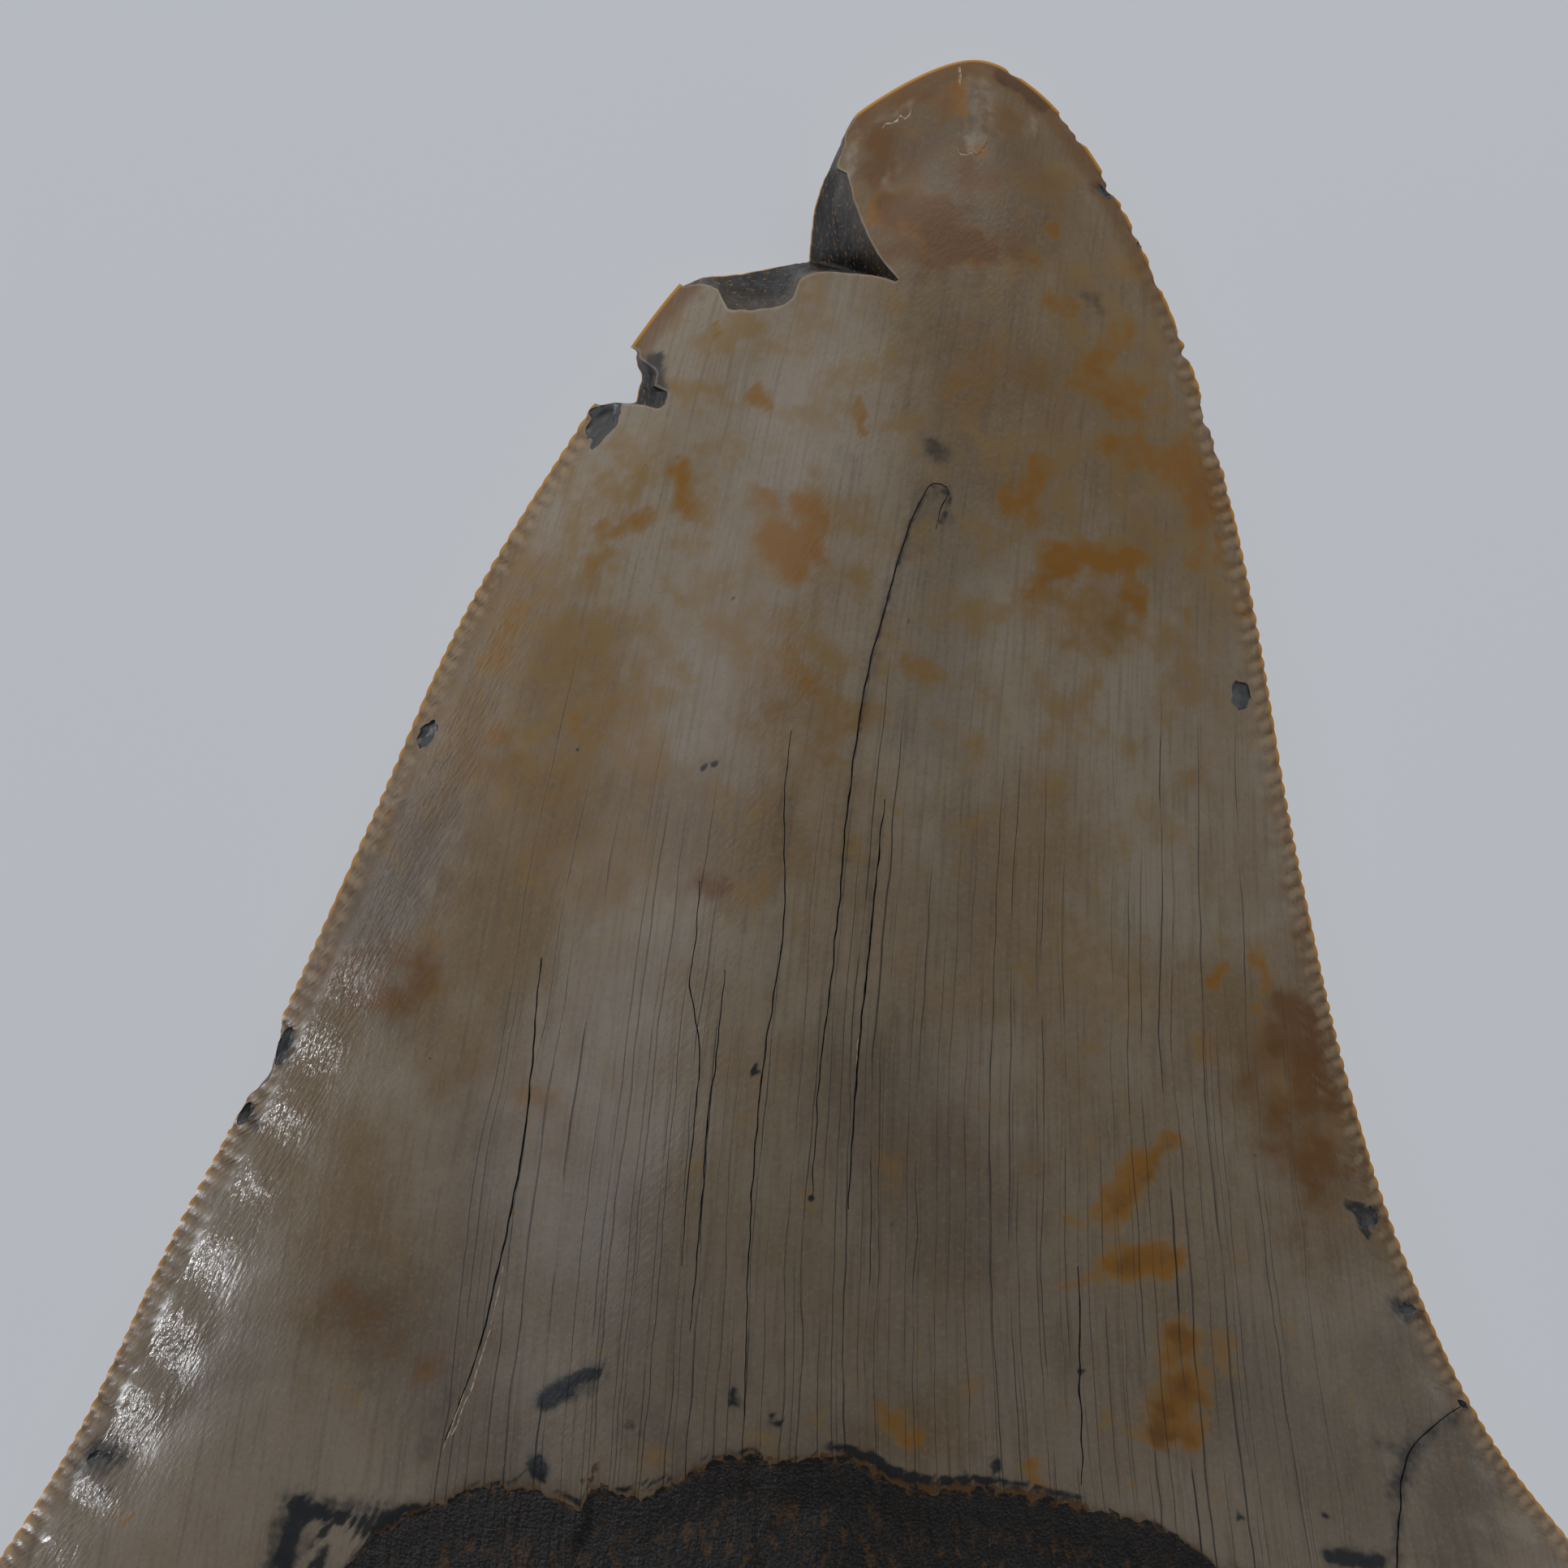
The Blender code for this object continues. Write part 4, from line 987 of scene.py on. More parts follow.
def gap_to(places, points):
    """The distance from each point to the nearest of the places."""
    tree = kdtree.KDTree(len(places))
    for index, place in enumerate(places):
        tree.insert(place, index)
    tree.balance()
    return np.array([tree.find(point)[2] for point in points])


def outline_places():
    share = np.linspace(0, 1, OUTLINE_PLACES)
    lines = np.concatenate([line(share) for line in WALKS.values()])
    return np.column_stack([lines, np.zeros(len(lines))])


def border_places(mesh):
    """Places along the borders of the broken faces, with the lingual and the labial face."""
    bm = bmesh.new()
    bm.from_mesh(mesh)
    places = {"lip_mm": [], "hem_mm": [], "spall_mm": []}
    for edge in bm.edges:
        grown = [face for face in edge.link_faces if face.material_index not in BROKEN]
        broken = [face for face in edge.link_faces if face.material_index in BROKEN]
        if len(grown) == 1 and len(broken) == 1:
            name = "lip_mm" if grown[0].normal.z > 0 else "hem_mm"
            if broken[0].material_index == CHIP:
                name = "spall_mm"
            places[name] += [edge.verts[0].co.lerp(edge.verts[1].co, t) for t in (0.0, 0.5, 1.0)]
    bm.free()
    return places


def mark_surface(mesh):
    """Writes the tooth's own coordinates and the places of its marks as attributes."""
    points, normals = np.empty((2, 3 * len(mesh.vertices)))
    mesh.vertices.foreach_get("co", points)
    mesh.vertices.foreach_get("normal", normals)
    points = points.reshape(-1, 3)
    upper = smooth_between(normals[2::3], -0.1, 0.1)
    u, v = unplan(points[:, :2])
    foot = foot_share(u, upper > 0.5)
    inward = half_width(v) * (1 - np.abs(u)) * (upper < 0.5)
    pixels = seen(points)
    wobble = np.column_stack([noise_at(points, 0.9, 11, 2), noise_at(points, 0.9, 12, 2)])
    fields = {
        "rim_mm": gap_to(outline_places(), points * (1, 1, 0)),
        "foot_mm": (v - foot) * LENGTH,
        "rib": rib_wave(u, v) * serrated(u, v),
    }
    for name, places in border_places(mesh).items():
        fields[name] = gap_to(places, points)
    for name, (reach, strokes) in MARKS.items():
        fields[name] = upper * stroke_field(pixels + reach * wobble, strokes)
    for name, values in fields.items():
        layer = mesh.attributes.new(name, "FLOAT", "POINT")
        layer.data.foreach_set("value", values.astype(np.float32))
    # The grain runs up the crown: lane across, distance up, and depth in from the edge on
    # the labial side, all in mm.
    above = points[:, 1] - LANE_FOOT
    lean = (LANE_LEAN + LANE_BEND / 2 * above) * above
    lane = (points[:, 0] - lean) / (1 - LANE_FAN * above)
    layer = mesh.attributes.new("grain", "FLOAT_VECTOR", "POINT")
    layer.data.foreach_set("vector", np.column_stack([lane, v * LENGTH, -inward]).ravel())


def add(tree, kind, *values, at=None, out=0, **named):
    """Adds a node with its settings and links, and returns one of its outputs, or the node.

    The values go to its inputs in order, and those of "at" to the inputs with these numbers.
    A name with a capital is an input's, with its spaces as underscores. Others are settings.
    """
    node = tree.nodes.new("ShaderNode" + kind)
    inputs = {**dict(enumerate(values)), **(at or {})}
    for name, value in named.items():
        if name[0].isupper():
            inputs[name.replace("_", " ")] = value
        else:
            setattr(node, name, value)
    for name, value in inputs.items():
        if isinstance(value, bpy.types.NodeSocket):
            tree.links.new(value, node.inputs[name])
        else:
            node.inputs[name].default_value = value
    return node if out is None else node.outputs[out]


# Settings that many nodes share. A Map Range takes its value, from low, from high, to low
# and to high in that order, and a colour Mix its share, first and second as 0, 6 and 7.
SOFT = {"interpolation_type": "SMOOTHSTEP"}
TINT = {"data_type": "RGBA", "out": 2}
TIMES = {"operation": "MULTIPLY"}
TIMES_PLUS = {"operation": "MULTIPLY_ADD"}
PLUS = {"operation": "ADD"}
MINUS = {"operation": "SUBTRACT"}


def new_surface(name, *fields):
    """A blank material: its tree, its place in mm and the named attributes."""
    material = bpy.data.materials.get(name) or bpy.data.materials.new(name)
    material.use_nodes = True
    tree = material.node_tree
    tree.nodes.clear()
    mm = add(tree, "Mapping", add(tree, "TexCoord", out="Object"), Scale=(1 / MM, 1 / MM, 1 / MM))
    return tree, mm, [add(tree, "Attribute", out="Fac", attribute_name=name) for name in fields]


def layered(tree, base, layers):
    """Lays tones over a colour. A layer is a value, the low and high that it runs between,
    how much the tone covers at the low and at the high, and the tone."""
    for value, low, high, first, last, tone in layers:
        cover = add(tree, "MapRange", value, low, high, first, last, **SOFT)
        base = add(tree, "Mix", at={0: cover, 6: base, 7: tone}, **TINT)
    return base


def finish_surface(tree, base, roughness, height_mm, ior):
    """Joins the finished colour, roughness and height in the shader."""
    bump = add(tree, "Bump", Strength=1.0, Distance=MM, Height=height_mm)
    shader = add(tree, "BsdfPrincipled", Base_Color=base, Roughness=roughness, IOR=ior,
                 Normal=bump)
    add(tree, "OutputMaterial", Surface=shader, out=None)


def hairlines(t, grain, spacing, half_mm, lowest_head, reach):
    """Fine cracks along the grain: each lane has its own head, width and depth of colour."""
    lane_up = add(t, "SeparateXYZ", grain, out=None).outputs
    sway = add(t, "TexNoise", add(t, "Mapping", grain, Scale=(0.25, 0.10, 0.1)), Scale=1.0,
               Detail=3.0)
    lane = add(t, "Math", lane_up[0], 1 / spacing, sway, **TIMES_PLUS)
    cells = add(t, "TexVoronoi", W=lane, Scale=1.0, Randomness=0.85, out=None,
                voronoi_dimensions="1D").outputs
    draw = add(t, "SeparateXYZ", cells["Color"], out=None).outputs
    head = add(t, "MapRange", draw[0], 0, 1, lowest_head, lowest_head + reach)
    below = add(t, "MapRange", add(t, "Math", head, lane_up[1], **MINUS), -1.0, 6.0, **SOFT)
    width = add(t, "MapRange", draw[1], 0, 1, 0.5 * half_mm / spacing, 1.2 * half_mm / spacing)
    line = add(t, "MapRange", cells["Distance"], 0.0, width, 1.0, 0.0)
    dashes = add(t, "TexNoise", add(t, "Mapping", grain, Scale=(1.2, 0.16, 0.2)), Scale=1.0,
                 Detail=3.0)
    left_in, left_full, right_full, right_out = HAIRLINE_LANES
    for mask in (below, add(t, "MapRange", dashes, 0.34, 0.52, 0.20, 1.0, **SOFT),
                 add(t, "MapRange", draw[2], 0, 1, 0.45, 1.2),
                 add(t, "MapRange", lane_up[0], left_in, left_full, **SOFT),
                 add(t, "MapRange", lane_up[0], right_full, right_out, 1.0, 0.0, **SOFT)):
        line = add(t, "Math", line, mask, **TIMES)
    return line


def polished_fossil_enamel(colours):
    """Enamel turned to stone, dense and ground smooth by the sea: a deep gloss over stains
    that sank in unevenly and hairline cracks that follow the grain."""
    c = colours
    names = ("rim_mm", "lip_mm", "foot_mm", "rib", "tan", "shade")
    t, mm, (rim, lip, foot, rib, tan, shade) = new_surface("polished_fossil_enamel", *names)
    grain = add(t, "Attribute", out="Vector", attribute_name="grain")
    up = add(t, "SeparateXYZ", grain, out=1)

    # The ground: clouds about 3.5 mm across, streaks 0.25 mm wide along the grain, specks of
    # 0.22 mm and mottles of 1.8 mm, which thin out in the lower half.
    cloud = add(t, "TexNoise", mm, Scale=1 / 3.5, Detail=8.0, Roughness=0.62)
    cloud = add(t, "Math", cloud, 1.0, add(t, "Math", tan, 0.6, **TIMES), **TIMES_PLUS)
    streaks = add(t, "TexNoise", add(t, "Mapping", grain, Scale=(4.0, 0.22, 1.0)), Scale=1.0,
                  Detail=3.0)
    specks = add(t, "TexNoise", mm, Scale=1 / 0.22, Detail=5.0, Roughness=0.6)
    mottles = add(t, "TexNoise", mm, Scale=1 / 1.8, Detail=5.0, Roughness=0.55)
    thinning = add(t, "MapRange", up, 56.0, 74.0, -0.14, 0.0, **SOFT)
    mottles = add(t, "Math", mottles, thinning, **PLUS)
    base = layered(t, c.grey_enamel, [
        (cloud, 0.30, 1.20, 0.0, 1.0, c.tan_enamel),
        # Painted shade: the crown is darker towards its root, most in its lower half.
        (up, 40.0, 70.0, 0.30, 0.0, c.shade),
        # The shade marks: partly darker enamel, partly painted shade.
        (shade, 0.0, 1.0, 0.0, 0.8, c.shade),
        (streaks, 0.45, 0.75, 0.0, 0.3, c.shade),
        (specks, 0.50, 0.75, 0.0, 0.30, c.pale),
        (specks, 0.25, 0.48, 0.22, 0.0, c.shade),
        (mottles, 0.46, 0.68, 0.0, 0.75, c.mottle)])

    # The marks: attribute, size of the noise that frays it in mm, how far, where it starts
    # and is full, and the most that it covers.
    for name, size, fray, low, high, most, tone in (
            ("ochre", 0.9, 0.9, 0.02, 0.55, 0.60, c.mottle),
            ("ochre", 0.7, 0.6, 0.10, 1.05, 0.95, c.ochre),
            ("brown", 1.8, 0.9, 0.00, 1.00, 0.95, c.brown),
            ("smudge", 0.6, 0.5, 0.10, 1.00, 0.85, c.grey_stain),
            ("stripe", 0.3, 0.8, 0.25, 0.70, 0.90, c.band_fleck),
            # The pale marks: worn enamel, and painted sheen on the upper left.
            ("pale", 0.6, 0.7, 0.10, 0.90, 0.80, c.pale),
            ("grey", 0.5, 0.5, 0.20, 0.80, 0.93, c.grey_stain)):
        field = add(t, "Attribute", out="Fac", attribute_name=name)
        ragged = add(t, "TexNoise", mm, Scale=1 / size, Detail=4.0)
        ragged = add(t, "MapRange", ragged, 0.3, 0.7, -fray / 2, fray / 2)
        near = add(t, "MapRange", field, 0.0, 0.6, **SOFT)
        field = add(t, "Math", ragged, near, field, **TIMES_PLUS)
        base = layered(t, base, [(field, low, high, 0.0, most, tone)])

    # Hairline cracks lie about 1.2 mm apart, with finer ones between them, and a pit here
    # and there.
    coarse = hairlines(t, grain, 1.15, 0.055, 60.0, 16.0)
    fine = hairlines(t, grain, 0.66, 0.04, 46.0, 26.0)
    cells = add(t, "TexVoronoi", mm, Scale=0.32, Randomness=1.0, out=None).outputs
    dot = add(t, "MapRange", add(t, "SeparateXYZ", cells["Color"]), 0.5, 1, 0, 0.04)
    dot = add(t, "Math", cells["Distance"], dot, operation="LESS_THAN")

    # Rib crests are worn paler and partly painted as highlights; the edge's glow is painted amber.
    outer = add(t, "MapRange", rim, 0.5, 1.4, 1.0, 0.0, **SOFT)
    wear = add(t, "TexNoise", mm, Scale=1 / 0.7, Detail=3.0)
    crest = add(t, "Math", rib, outer, **TIMES)
    crest = add(t, "Math", crest, add(t, "MapRange", wear, 0.35, 0.6, 0.4, **SOFT), **TIMES)
    # Painted shade: darker in the grooves between the ribs.
    gully = add(t, "Math", add(t, "MapRange", rib, 0.05, 0.5, 1.0, 0.0), outer, **TIMES)
    lip = add(t, "Math", wear, -0.25, lip, **TIMES_PLUS)
    # Painted highlight: bright enamel along the chipped lips.
    chipped = add(t, "MapRange", lip, -0.09, 0.02, 1.0, 0.0, **SOFT)
    frayed_foot = add(t, "TexNoise", mm, Scale=1 / 0.5, Detail=4.0)
    frayed_foot = add(t, "Math", frayed_foot, 1.0, foot, **TIMES_PLUS)
    base = layered(t, base, [
        (coarse, 0.0, 0.9, 0.0, 0.8, c.crack),
        (fine, 0.0, 0.9, 0.0, 0.7, c.crack),
        (dot, 0.0, 1.0, 0.0, 0.7, c.crack),
        (rim, 0.1, 1.3, 0.45, 0.0, c.brown),
        (gully, 0.1, 1.0, 0.0, 0.42, c.brown),
        (crest, 0.2, 1.0, 0.0, 0.55, c.rib),
        (rim, 0.06, 0.20, 0.9, 0.0, c.amber),
        (chipped, 0.0, 1.0, 0.0, 0.24, c.lip),
        (frayed_foot, 0.52, 0.85, 0.5, 0.0, c.brown),
        (frayed_foot, 0.46, 0.56, 1.0, 0.0, c.bare_band)])

    # Grit scratches, drawn 0.17 mm wide so that they show, lean 52 degrees from level. They
    # are deepest along the left margin.
    scratches = add(t, "Mapping", mm, Rotation=(0, 0, np.radians(-38)), Scale=(1.0, 4.5, 1.0),
                    vector_type="TEXTURE")
    depth = add(t, "MapRange", rim, 2.4, 4.2, 1.0, 0.0, **SOFT)
    for value, low, high in ((rim, 1.0, 1.7), (add(t, "SeparateXYZ", mm), -8.0, -16.0)):
        depth = add(t, "Math", depth, add(t, "MapRange", value, low, high, **SOFT), **TIMES)
    depth = add(t, "MapRange", depth, 0, 1, 0.008, 0.075)
    scratches = add(t, "TexNoise", scratches, Scale=1 / 0.17, Detail=2.0)
    height = add(t, "Math", scratches, depth, **TIMES)
    for layer, depth in ((specks, 0.006), (streaks, 0.004), (coarse, -0.007), (fine, -0.004)):
        height = add(t, "Math", layer, depth, height, **TIMES_PLUS)

    # The margins are rubbed to a higher polish than the middle. The outermost rim and the tip
    # are worn dull again.
    gloss = add(t, "MapRange", add(t, "TexNoise", mm, Scale=1 / 3, Detail=5.0), 0.3, 0.7,
                -0.05, 0.05)
    for low, high, first, last in ((2.2, 3.6, 0.15, 0.22), (0.9, 1.5, 0.16, 0.0)):
        rubbed = add(t, "MapRange", rim, low, high, first, last, **SOFT)
        gloss = add(t, "Math", gloss, rubbed, **PLUS)
    worn = add(t, "Math", add(t, "MapRange", up, 55.0, 62.0, **SOFT),
               add(t, "MapRange", rim, 2.5, 4.5, 1.0, 0.2, **SOFT), **TIMES)
    for dulled, step in ((worn, 0.35), (add(t, "MapRange", up, 88.0, 96.0), 0.1)):
        gloss = add(t, "Math", dulled, step, gloss, **TIMES_PLUS)
    finish_surface(t, base, gloss, height, 1.62)


def bare_dentine_band(colours):
    """Dark dentine with upright fibres, bared where the enamel ends: dull, with rusty flecks."""
    t, mm, (foot,) = new_surface("bare_dentine_band", "foot_mm")
    # Fibres are about 0.3 mm wide and 1.4 mm long.
    fibres = add(t, "TexNoise", add(t, "Mapping", mm, Scale=(1.0, 0.22, 1.0)), Scale=1 / 0.3,
                 Detail=5.0, Roughness=0.6)
    flecks = add(t, "TexNoise", add(t, "Mapping", mm, Scale=(1.0, 0.5, 1.0)), Scale=1 / 0.5,
                 Detail=5.0, Roughness=0.7)
    low = add(t, "Math", add(t, "MapRange", flecks, 0.50, 0.62, **SOFT),
              add(t, "MapRange", foot, -3.2, -0.8, 1.0, 0.25, **SOFT), **TIMES)
    rust = add(t, "TexNoise", mm, Scale=1 / 0.5, Detail=4.0)
    rust = add(t, "Math", add(t, "MapRange", rust, 0.46, 0.62, **SOFT),
               add(t, "MapRange", foot, -0.5, -0.1, 0.0, 0.8, **SOFT), **TIMES)
    base = layered(t, colours.bare_band, [
        (fibres, 0.45, 0.75, 0.0, 0.5, colours.root),
        (low, 0.0, 1.0, 0.0, 0.75, colours.band_fleck),
        (rust, 0.0, 1.0, 0.0, 0.8, colours.band_fleck)])
    pits = add(t, "Math", add(t, "TexNoise", mm, Scale=1 / 0.15, Detail=4.0), 0.14, **TIMES)
    height = add(t, "Math", fibres, 0.32, pits, **TIMES_PLUS)
    dull = add(t, "MapRange", flecks, 0.3, 0.7, 0.35, 0.6)
    finish_surface(t, base, dull, height, 1.5)


def porous_fossil_root(colours):
    """Fossil bone with an open grain, worn by sand: matt, blotched and full of small pores."""
    t, mm, _ = new_surface("porous_fossil_root")
    clouds = add(t, "TexNoise", mm, Scale=1 / 6, Detail=6.0, Roughness=0.6)
    blots = add(t, "TexNoise", add(t, "Mapping", mm, Scale=(1.0, 0.6, 1.0)), Scale=1 / 0.8,
                Detail=6.0, Roughness=0.65)
    # Pores are 0.1 to 0.5 mm wide, about one to each square millimetre.
    cells = add(t, "TexVoronoi", mm, Scale=1.1, Randomness=1.0, out=None).outputs
    size = add(t, "MapRange", add(t, "SeparateXYZ", cells["Color"]), 0.2, 1, 0.04, 0.26)
    pore = add(t, "MapRange", add(t, "Math", size, cells["Distance"], **MINUS), -0.03, 0.05,
               **SOFT)
    base = layered(t, colours.root, [
        (clouds, 0.35, 0.65, 0.0, 1.0, colours.root_fleck),
        (blots, 0.42, 0.62, 0.0, 0.6, colours.bare_band),
        (pore, 0.0, 1.0, 0.0, 0.85, colours.bare_band)])
    crumbs = add(t, "TexNoise", mm, Scale=1 / 0.45, Detail=6.0, Roughness=0.65)
    height = add(t, "Math", crumbs, 0.25, **TIMES)
    height = add(t, "Math", pore, -0.25, height, **TIMES_PLUS)
    matt = add(t, "MapRange", blots, 0.3, 0.7, 0.6, 0.85)
    finish_surface(t, base, matt, height, 1.5)


def split_dentine(colours):
    """The dark inside of the tooth where a flake split off: half glassy, with rusty specks."""
    t, mm, (lip, hem, smudge) = new_surface("split_dentine", "lip_mm", "hem_mm", "smudge")
    streaks = add(t, "TexNoise", add(t, "Mapping", mm, Scale=(1.0, 0.3, 0.3)), Scale=1 / 0.3,
                  Detail=5.0, Roughness=0.6)
    haze = add(t, "TexNoise", mm, Scale=1 / 1.2, Detail=3.0)
    haze = add(t, "Math", haze, streaks, **TIMES)
    flecks = add(t, "TexNoise", mm, Scale=1 / 0.22, Detail=4.0, Roughness=0.65)
    base = layered(t, colours.wall, [
        (haze, 0.22, 0.32, 0.0, 0.8, colours.wall_haze),
        (lip, 0.0, 2.6, 0.80, 0.0, colours.shade),
        (smudge, 0.2, 0.9, 0.0, 0.85, colours.wall),
        (flecks, 0.58, 0.65, 0.0, 0.8, colours.wall_fleck),
        # Painted light: an amber glow along a break's labial border.
        (hem, 0.04, 0.18, 0.9, 0.0, colours.amber)])
    gloss = add(t, "MapRange", streaks, 0.3, 0.7, 0.35, 0.6)
    finish_surface(t, base, gloss, add(t, "Math", streaks, 0.08, **TIMES), 1.35)


def spalled_enamel(colours):
    """The floor of a small chip: bluish, flat, with a dark outline and duller than the skin."""
    t, mm, (lip, grey) = new_surface("spalled_enamel", "spall_mm", "grey")
    blots = add(t, "TexNoise", mm, Scale=1 / 0.6, Detail=4.0)
    outline = add(t, "Math", add(t, "MapRange", lip, 0.02, 0.20, 0.9, 0.0, **SOFT),
                  add(t, "MapRange", blots, 0.4, 0.6, **SOFT), **TIMES)
    base = layered(t, colours.spall, [
        (blots, 0.4, 0.7, 0.0, 0.5, colours.shade),
        (grey, 0.2, 0.8, 0.0, 0.6, colours.grey_stain),
        (outline, 0.0, 1.0, 0.0, 1.0, colours.crack)])
    finish_surface(t, base, 0.4, add(t, "Math", blots, 0.03, **TIMES), 1.6)


def crack_fill(colours):
    """Blue-black mineral that has set in the open cracks, with a dull shine."""
    t, mm, _ = new_surface("crack_fill")
    blots = add(t, "TexNoise", mm, Scale=1 / 0.5, Detail=4.0)
    base = layered(t, colours.crack, [(blots, 0.35, 0.65, 0.0, 0.6, colours.spall)])
    finish_surface(t, base, 0.45, add(t, "Math", blots, 0.02, **TIMES), 1.5)


def worn_lip(colours):
    """Pale, dry enamel on a chipped lip or splinter, with rust in its grain, painted bright as a
    glint.
    """
    t, mm, _ = new_surface("worn_lip")
    blots = add(t, "TexNoise", mm, Scale=1 / 0.35, Detail=4.0)
    base = layered(t, colours.lip, [(blots, 0.45, 0.6, 0.0, 0.8, colours.wall_fleck)])
    finish_surface(t, base, 0.5, add(t, "Math", blots, 0.03, **TIMES), 1.6)


MAKERS = (polished_fossil_enamel, bare_dentine_band, porous_fossil_root, split_dentine,
          spalled_enamel, crack_fill, worn_lip)
ENAMEL, BAND, ROOT, WALL, CHIP = range(5)  # places in MAKERS
BROKEN = (WALL, CHIP)
CUT_DEPTH = {crack_fill: 0.8, worn_lip: 0.25}  # of a groove, for each unit of its width


def cut(tooth, cutters):
    """Bites each cutter out of the tooth and keeps the result as the tooth's own mesh."""
    for cutter in cutters:
        bite = tooth.modifiers.new(cutter.name, "BOOLEAN")
        bite.operation, bite.solver, bite.object = "DIFFERENCE", "EXACT", cutter
    graph = bpy.context.evaluated_depsgraph_get()
    bitten = bpy.data.meshes.new_from_object(tooth.evaluated_get(graph), depsgraph=graph)
    tooth.modifiers.clear()
    spent = [tooth.data, *(cutter.data for cutter in cutters)]
    tooth.data = bitten
    for cutter in cutters:
        bpy.data.objects.remove(cutter)
    for mesh in spent:
        bpy.data.meshes.remove(mesh)


def assign_surfaces(mesh):
    """Gives each face of the grown tooth the enamel, the bare band or the root."""
    middles = np.array([face.center for face in mesh.polygons])
    up = np.array([face.normal.z for face in mesh.polygons]) > 0
    u, v = unplan(middles[:, :2])
    foot_mm = (v - foot_share(u, up)) * LENGTH
    in_band = up & (foot_mm > -band_height(middles))
    index = np.where(foot_mm > 0, ENAMEL, np.where(in_band, BAND, ROOT))
    mesh.polygons.foreach_set("material_index", index.astype(np.int32))


def finish_edges(mesh):
    """Shades the tooth smooth, with creases where two surfaces or two steep faces meet."""
    mesh.shade_smooth()
    mesh.set_sharp_from_angle(angle=np.radians(SHARP_ANGLE))
    bm = bmesh.new()
    bm.from_mesh(mesh)
    for edge in bm.edges:
        surfaces = [face.material_index for face in edge.link_faces]
        if len(surfaces) == 2 and surfaces[0] != surfaces[1] and max(surfaces) > ROOT:
            edge.smooth = False
    bm.to_mesh(mesh)
    bm.free()


class FOSSIL_OT_tooth(bpy.types.Operator):
    """Grow the tooth, break its edges and score its open cracks"""

    bl_idname = "fossil.tooth"
    bl_label = "Fossil tooth"

    def execute(self, context):
        scene = context.scene
        for maker in MAKERS:
            maker(scene.tooth_colours)
        bm = tooth_grid()
        shape_tooth(bm, scene.tooth_sizes)
        surface = BVHTree.FromBMesh(bm)
        mesh = mesh_of(bm, "fossil_tooth")
        give_surfaces(mesh)
        assign_surfaces(mesh)
        tooth = bpy.data.objects.new("fossil_tooth", mesh)
        context.collection.objects.link(tooth)

        cutters = [
            cutter_object([break_cutter(surface, wall) for wall in BREAKS.values()],
                          split_dentine),
            cutter_object([foramen_cutter(surface)], porous_fossil_root),
            cutter_object([spall_cutter(surface, place) for place in SPALLS], spalled_enamel)]
        for kind, depth in CUT_DEPTH.items():
            cutters.append(cutter_object(
                [crack_cutter(surface, width, line, seed, depth)
                 for seed, (width, name, line) in enumerate(CRACKS) if name == kind.__name__],
                kind))
        for cutter in cutters:
            context.collection.objects.link(cutter)
        cut(tooth, cutters)
        mark_surface(tooth.data)
        tooth.data.transform(Matrix.Scale(MM, 4) @ Matrix.Translation((*PLAN_TO_FRAME, 0)))
        low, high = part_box(TOOTH_NODE)
        for vert in tooth.data.vertices:
            vert.co = [min(max(c, a), b) for c, a, b in zip(vert.co, low, high)]
        finish_edges(tooth.data)
        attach(tooth, "root")
        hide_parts(TOOTH_NODE)
        return {"FINISHED"}


def lay_floor(scene):
    """A broad sheet of matt paper, which gives off some light of its own."""
    bm = bmesh.new()
    bmesh.ops.create_grid(bm, x_segments=8, y_segments=8, size=FLOOR_REACH)
    mesh = mesh_of(bm, "floor")
    floor = bpy.data.objects.new("floor", mesh)
    scene.collection.objects.link(floor)
    t = new_surface("matt_paper")[0]
    shader = add(t, "BsdfPrincipled", scene.tooth_colours.floor, Roughness=0.9, IOR=1.2,
                 Emission_Color=scene.tooth_colours.glow,
                 Emission_Strength=scene.studio.floor_glow)
    add(t, "OutputMaterial", shader, out=None)
    mesh.materials.append(bpy.data.materials["matt_paper"])


def dim_room(scene):
    """A room that is dim, darker overhead and at the left, and plain behind the floor."""
    world = bpy.data.worlds.new("studio_room")
    world.use_nodes = True
    t = world.node_tree
    t.nodes.clear()
    way = add(t, "SeparateXYZ", add(t, "TexCoord", out="Generated"), out=None).outputs
    glow = add(t, "Math", add(t, "MapRange", way[2], 0.70, 0.95, 1.0, 0.4, **SOFT),
               add(t, "MapRange", way[0], -0.6, 0.0, 0.5, 1.0, **SOFT), **TIMES)
    glow = add(t, "Math", glow, scene.studio.room_light, **TIMES)
    camera_ray = add(t, "LightPath", out="Is Camera Ray")
    shown = add(t, "Mix", at={0: camera_ray, 2: glow, 3: BACKDROP_LEVEL})
    back = add(t, "Background", colour(ROOM_TONE), shown)
    add(t, "OutputWorld", back, out=None)
    scene.world = world


def hang(scene, name, data, place):
    """An object for a light or the camera at this place over the photo's middle."""
    holder = bpy.data.objects.new(name, data)
    middle = [a + b for a, b in zip(VIEW_CENTRE, PLAN_TO_FRAME)]
    holder.location = Vector((*middle, 0)) * MM + Vector(place)
    scene.collection.objects.link(holder)
    return holder


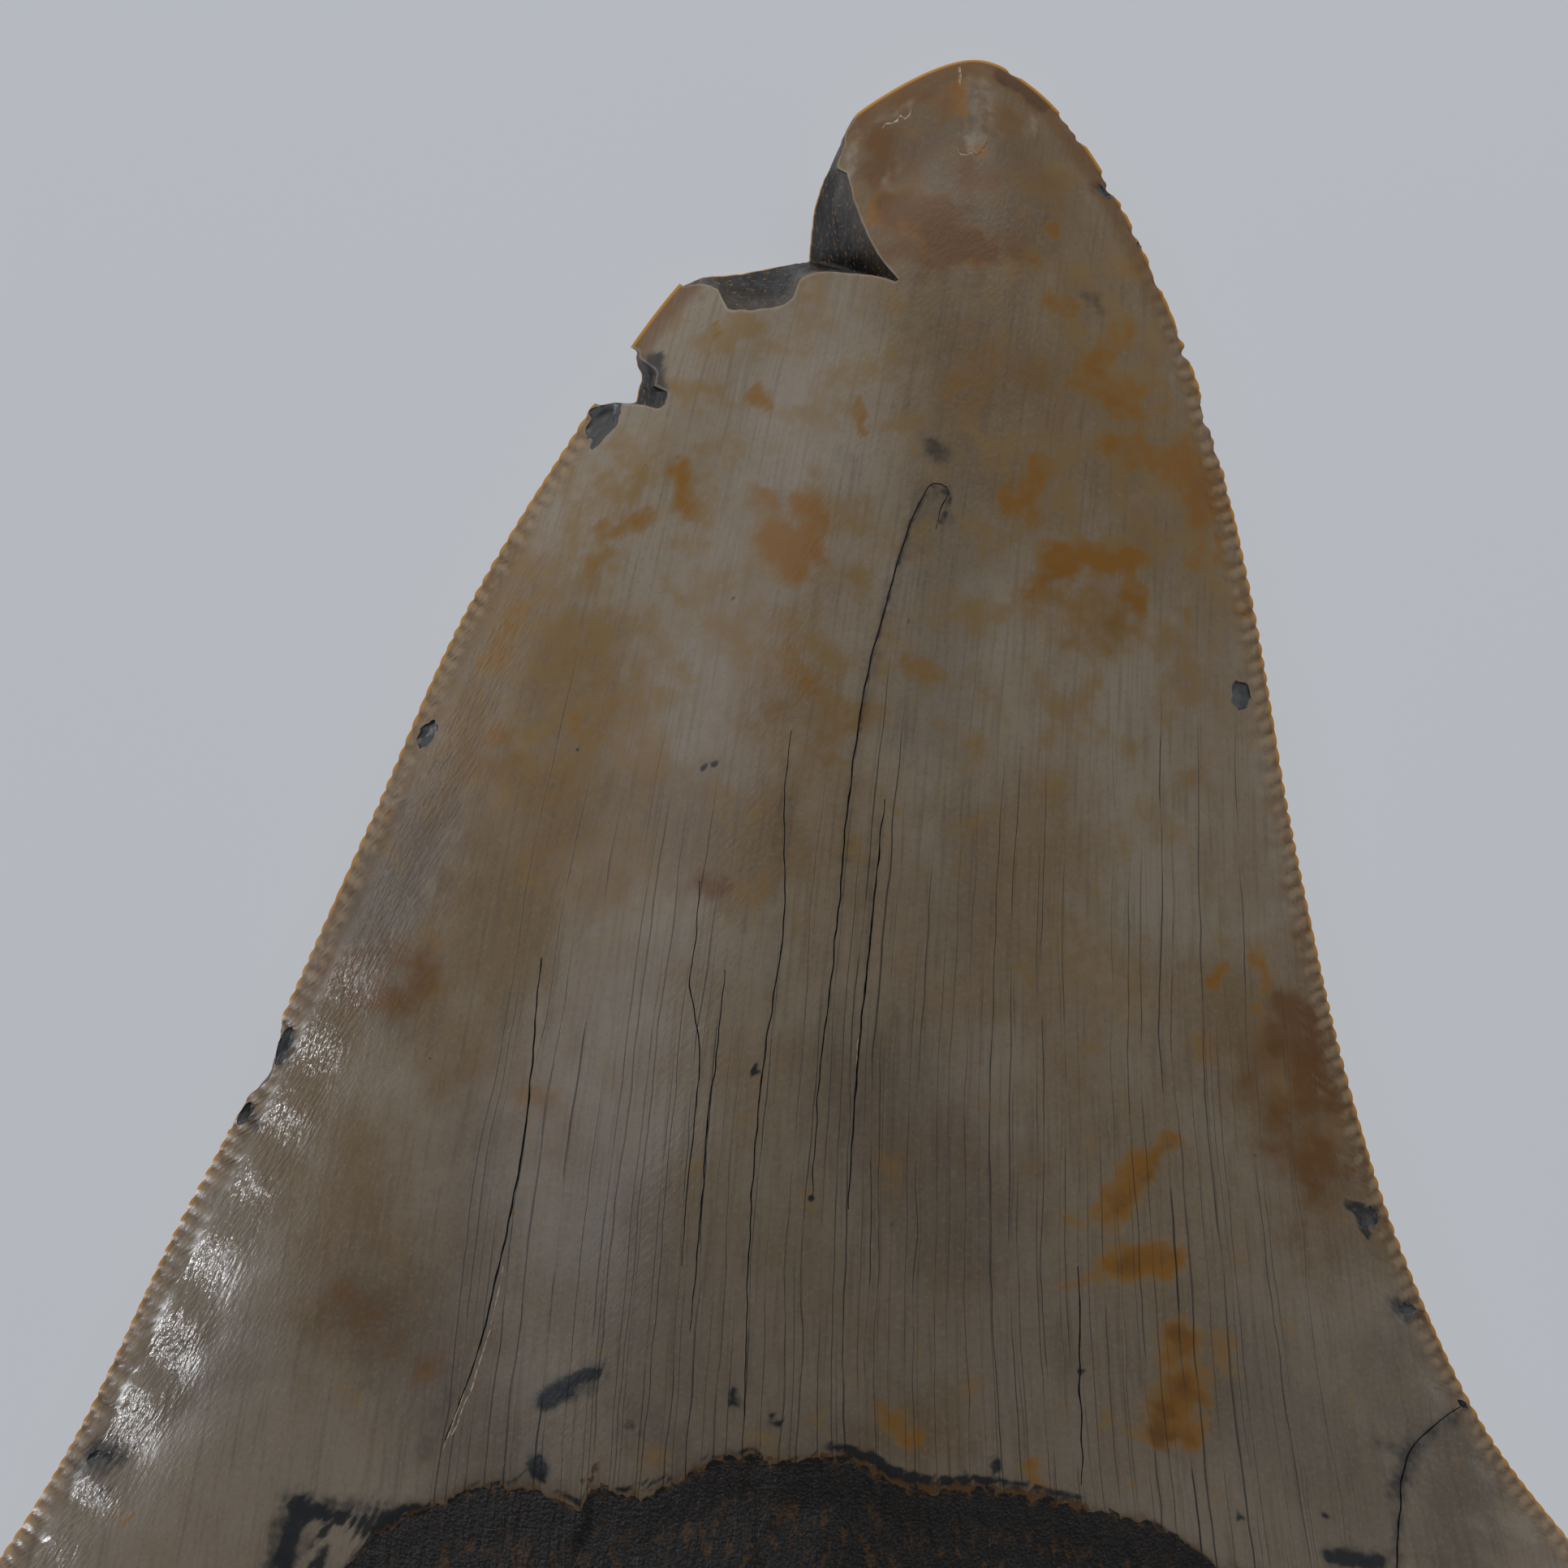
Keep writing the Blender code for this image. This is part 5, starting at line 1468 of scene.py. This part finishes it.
class FOSSIL_OT_stage(bpy.types.Operator):
    """Lay the pale floor and set the camera and the soft lights"""

    bl_idname = "fossil.stage"
    bl_label = "Stage"

    def execute(self, context):
        scene = context.scene
        lay_floor(scene)
        dim_room(scene)
        for name, (place, width, height, tone) in SOFTBOXES.items():
            lamp = bpy.data.lights.new(name + "_softbox", "AREA")
            lamp.shape = "RECTANGLE"
            lamp.size, lamp.size_y = width, height
            lamp.energy = getattr(scene.studio, name + "_light")
            lamp.color = colour(tone)[:3]
            holder = hang(scene, name + "_softbox", lamp, place)
            holder.rotation_euler = (-Vector(place)).to_track_quat("-Z", "Y").to_euler()

        camera = bpy.data.cameras.new("camera")
        camera.sensor_width = SENSOR_WIDTH
        camera.lens = SENSOR_WIDTH * CAMERA_DISTANCE / (PHOTO_PIXELS * MM_PER_PIXEL)
        camera.clip_start, camera.clip_end = CLIPPED
        height = (CAMERA_DISTANCE + EDGE_HEIGHT) * MM
        scene.camera = hang(scene, "camera", camera, (0, 0, height))
        scene.view_settings.view_transform = "Standard"
        return {"FINISHED"}


class FOSSIL_PT_panel(bpy.types.Panel):
    """Builders and settings of the fossil tooth"""

    bl_idname = "FOSSIL_PT_panel"
    bl_label = "Fossil tooth"
    bl_space_type = "VIEW_3D"
    bl_region_type = "UI"
    bl_category = "Fossil"

    def draw(self, context):
        layout = self.layout
        for operator in (FOSSIL_OT_tooth, FOSSIL_OT_stage):
            layout.operator(operator.bl_idname)
        for group in ("tooth_sizes", "tooth_colours", "studio"):
            box = layout.box()
            settings = getattr(context.scene, group)
            for name in settings.bl_rna.properties.keys():
                if name not in ("rna_type", "name"):
                    box.prop(settings, name)


GROUPS = {"tooth_sizes": ToothSizes, "tooth_colours": ToothColours, "studio": StudioSettings}
CLASSES = (*GROUPS.values(), FOSSIL_OT_tooth, FOSSIL_OT_stage, FOSSIL_PT_panel)


def register():
    for cls in CLASSES:
        bpy.utils.register_class(cls)
    for name, group in GROUPS.items():
        setattr(bpy.types.Scene, name, PointerProperty(type=group))


def unregister():
    for name in GROUPS:
        delattr(bpy.types.Scene, name)
    for cls in reversed(CLASSES):
        bpy.utils.unregister_class(cls)


def main():
    register()
    bpy.ops.fossil.tooth()
    bpy.ops.fossil.stage()


if __name__ == "__main__":
    main()
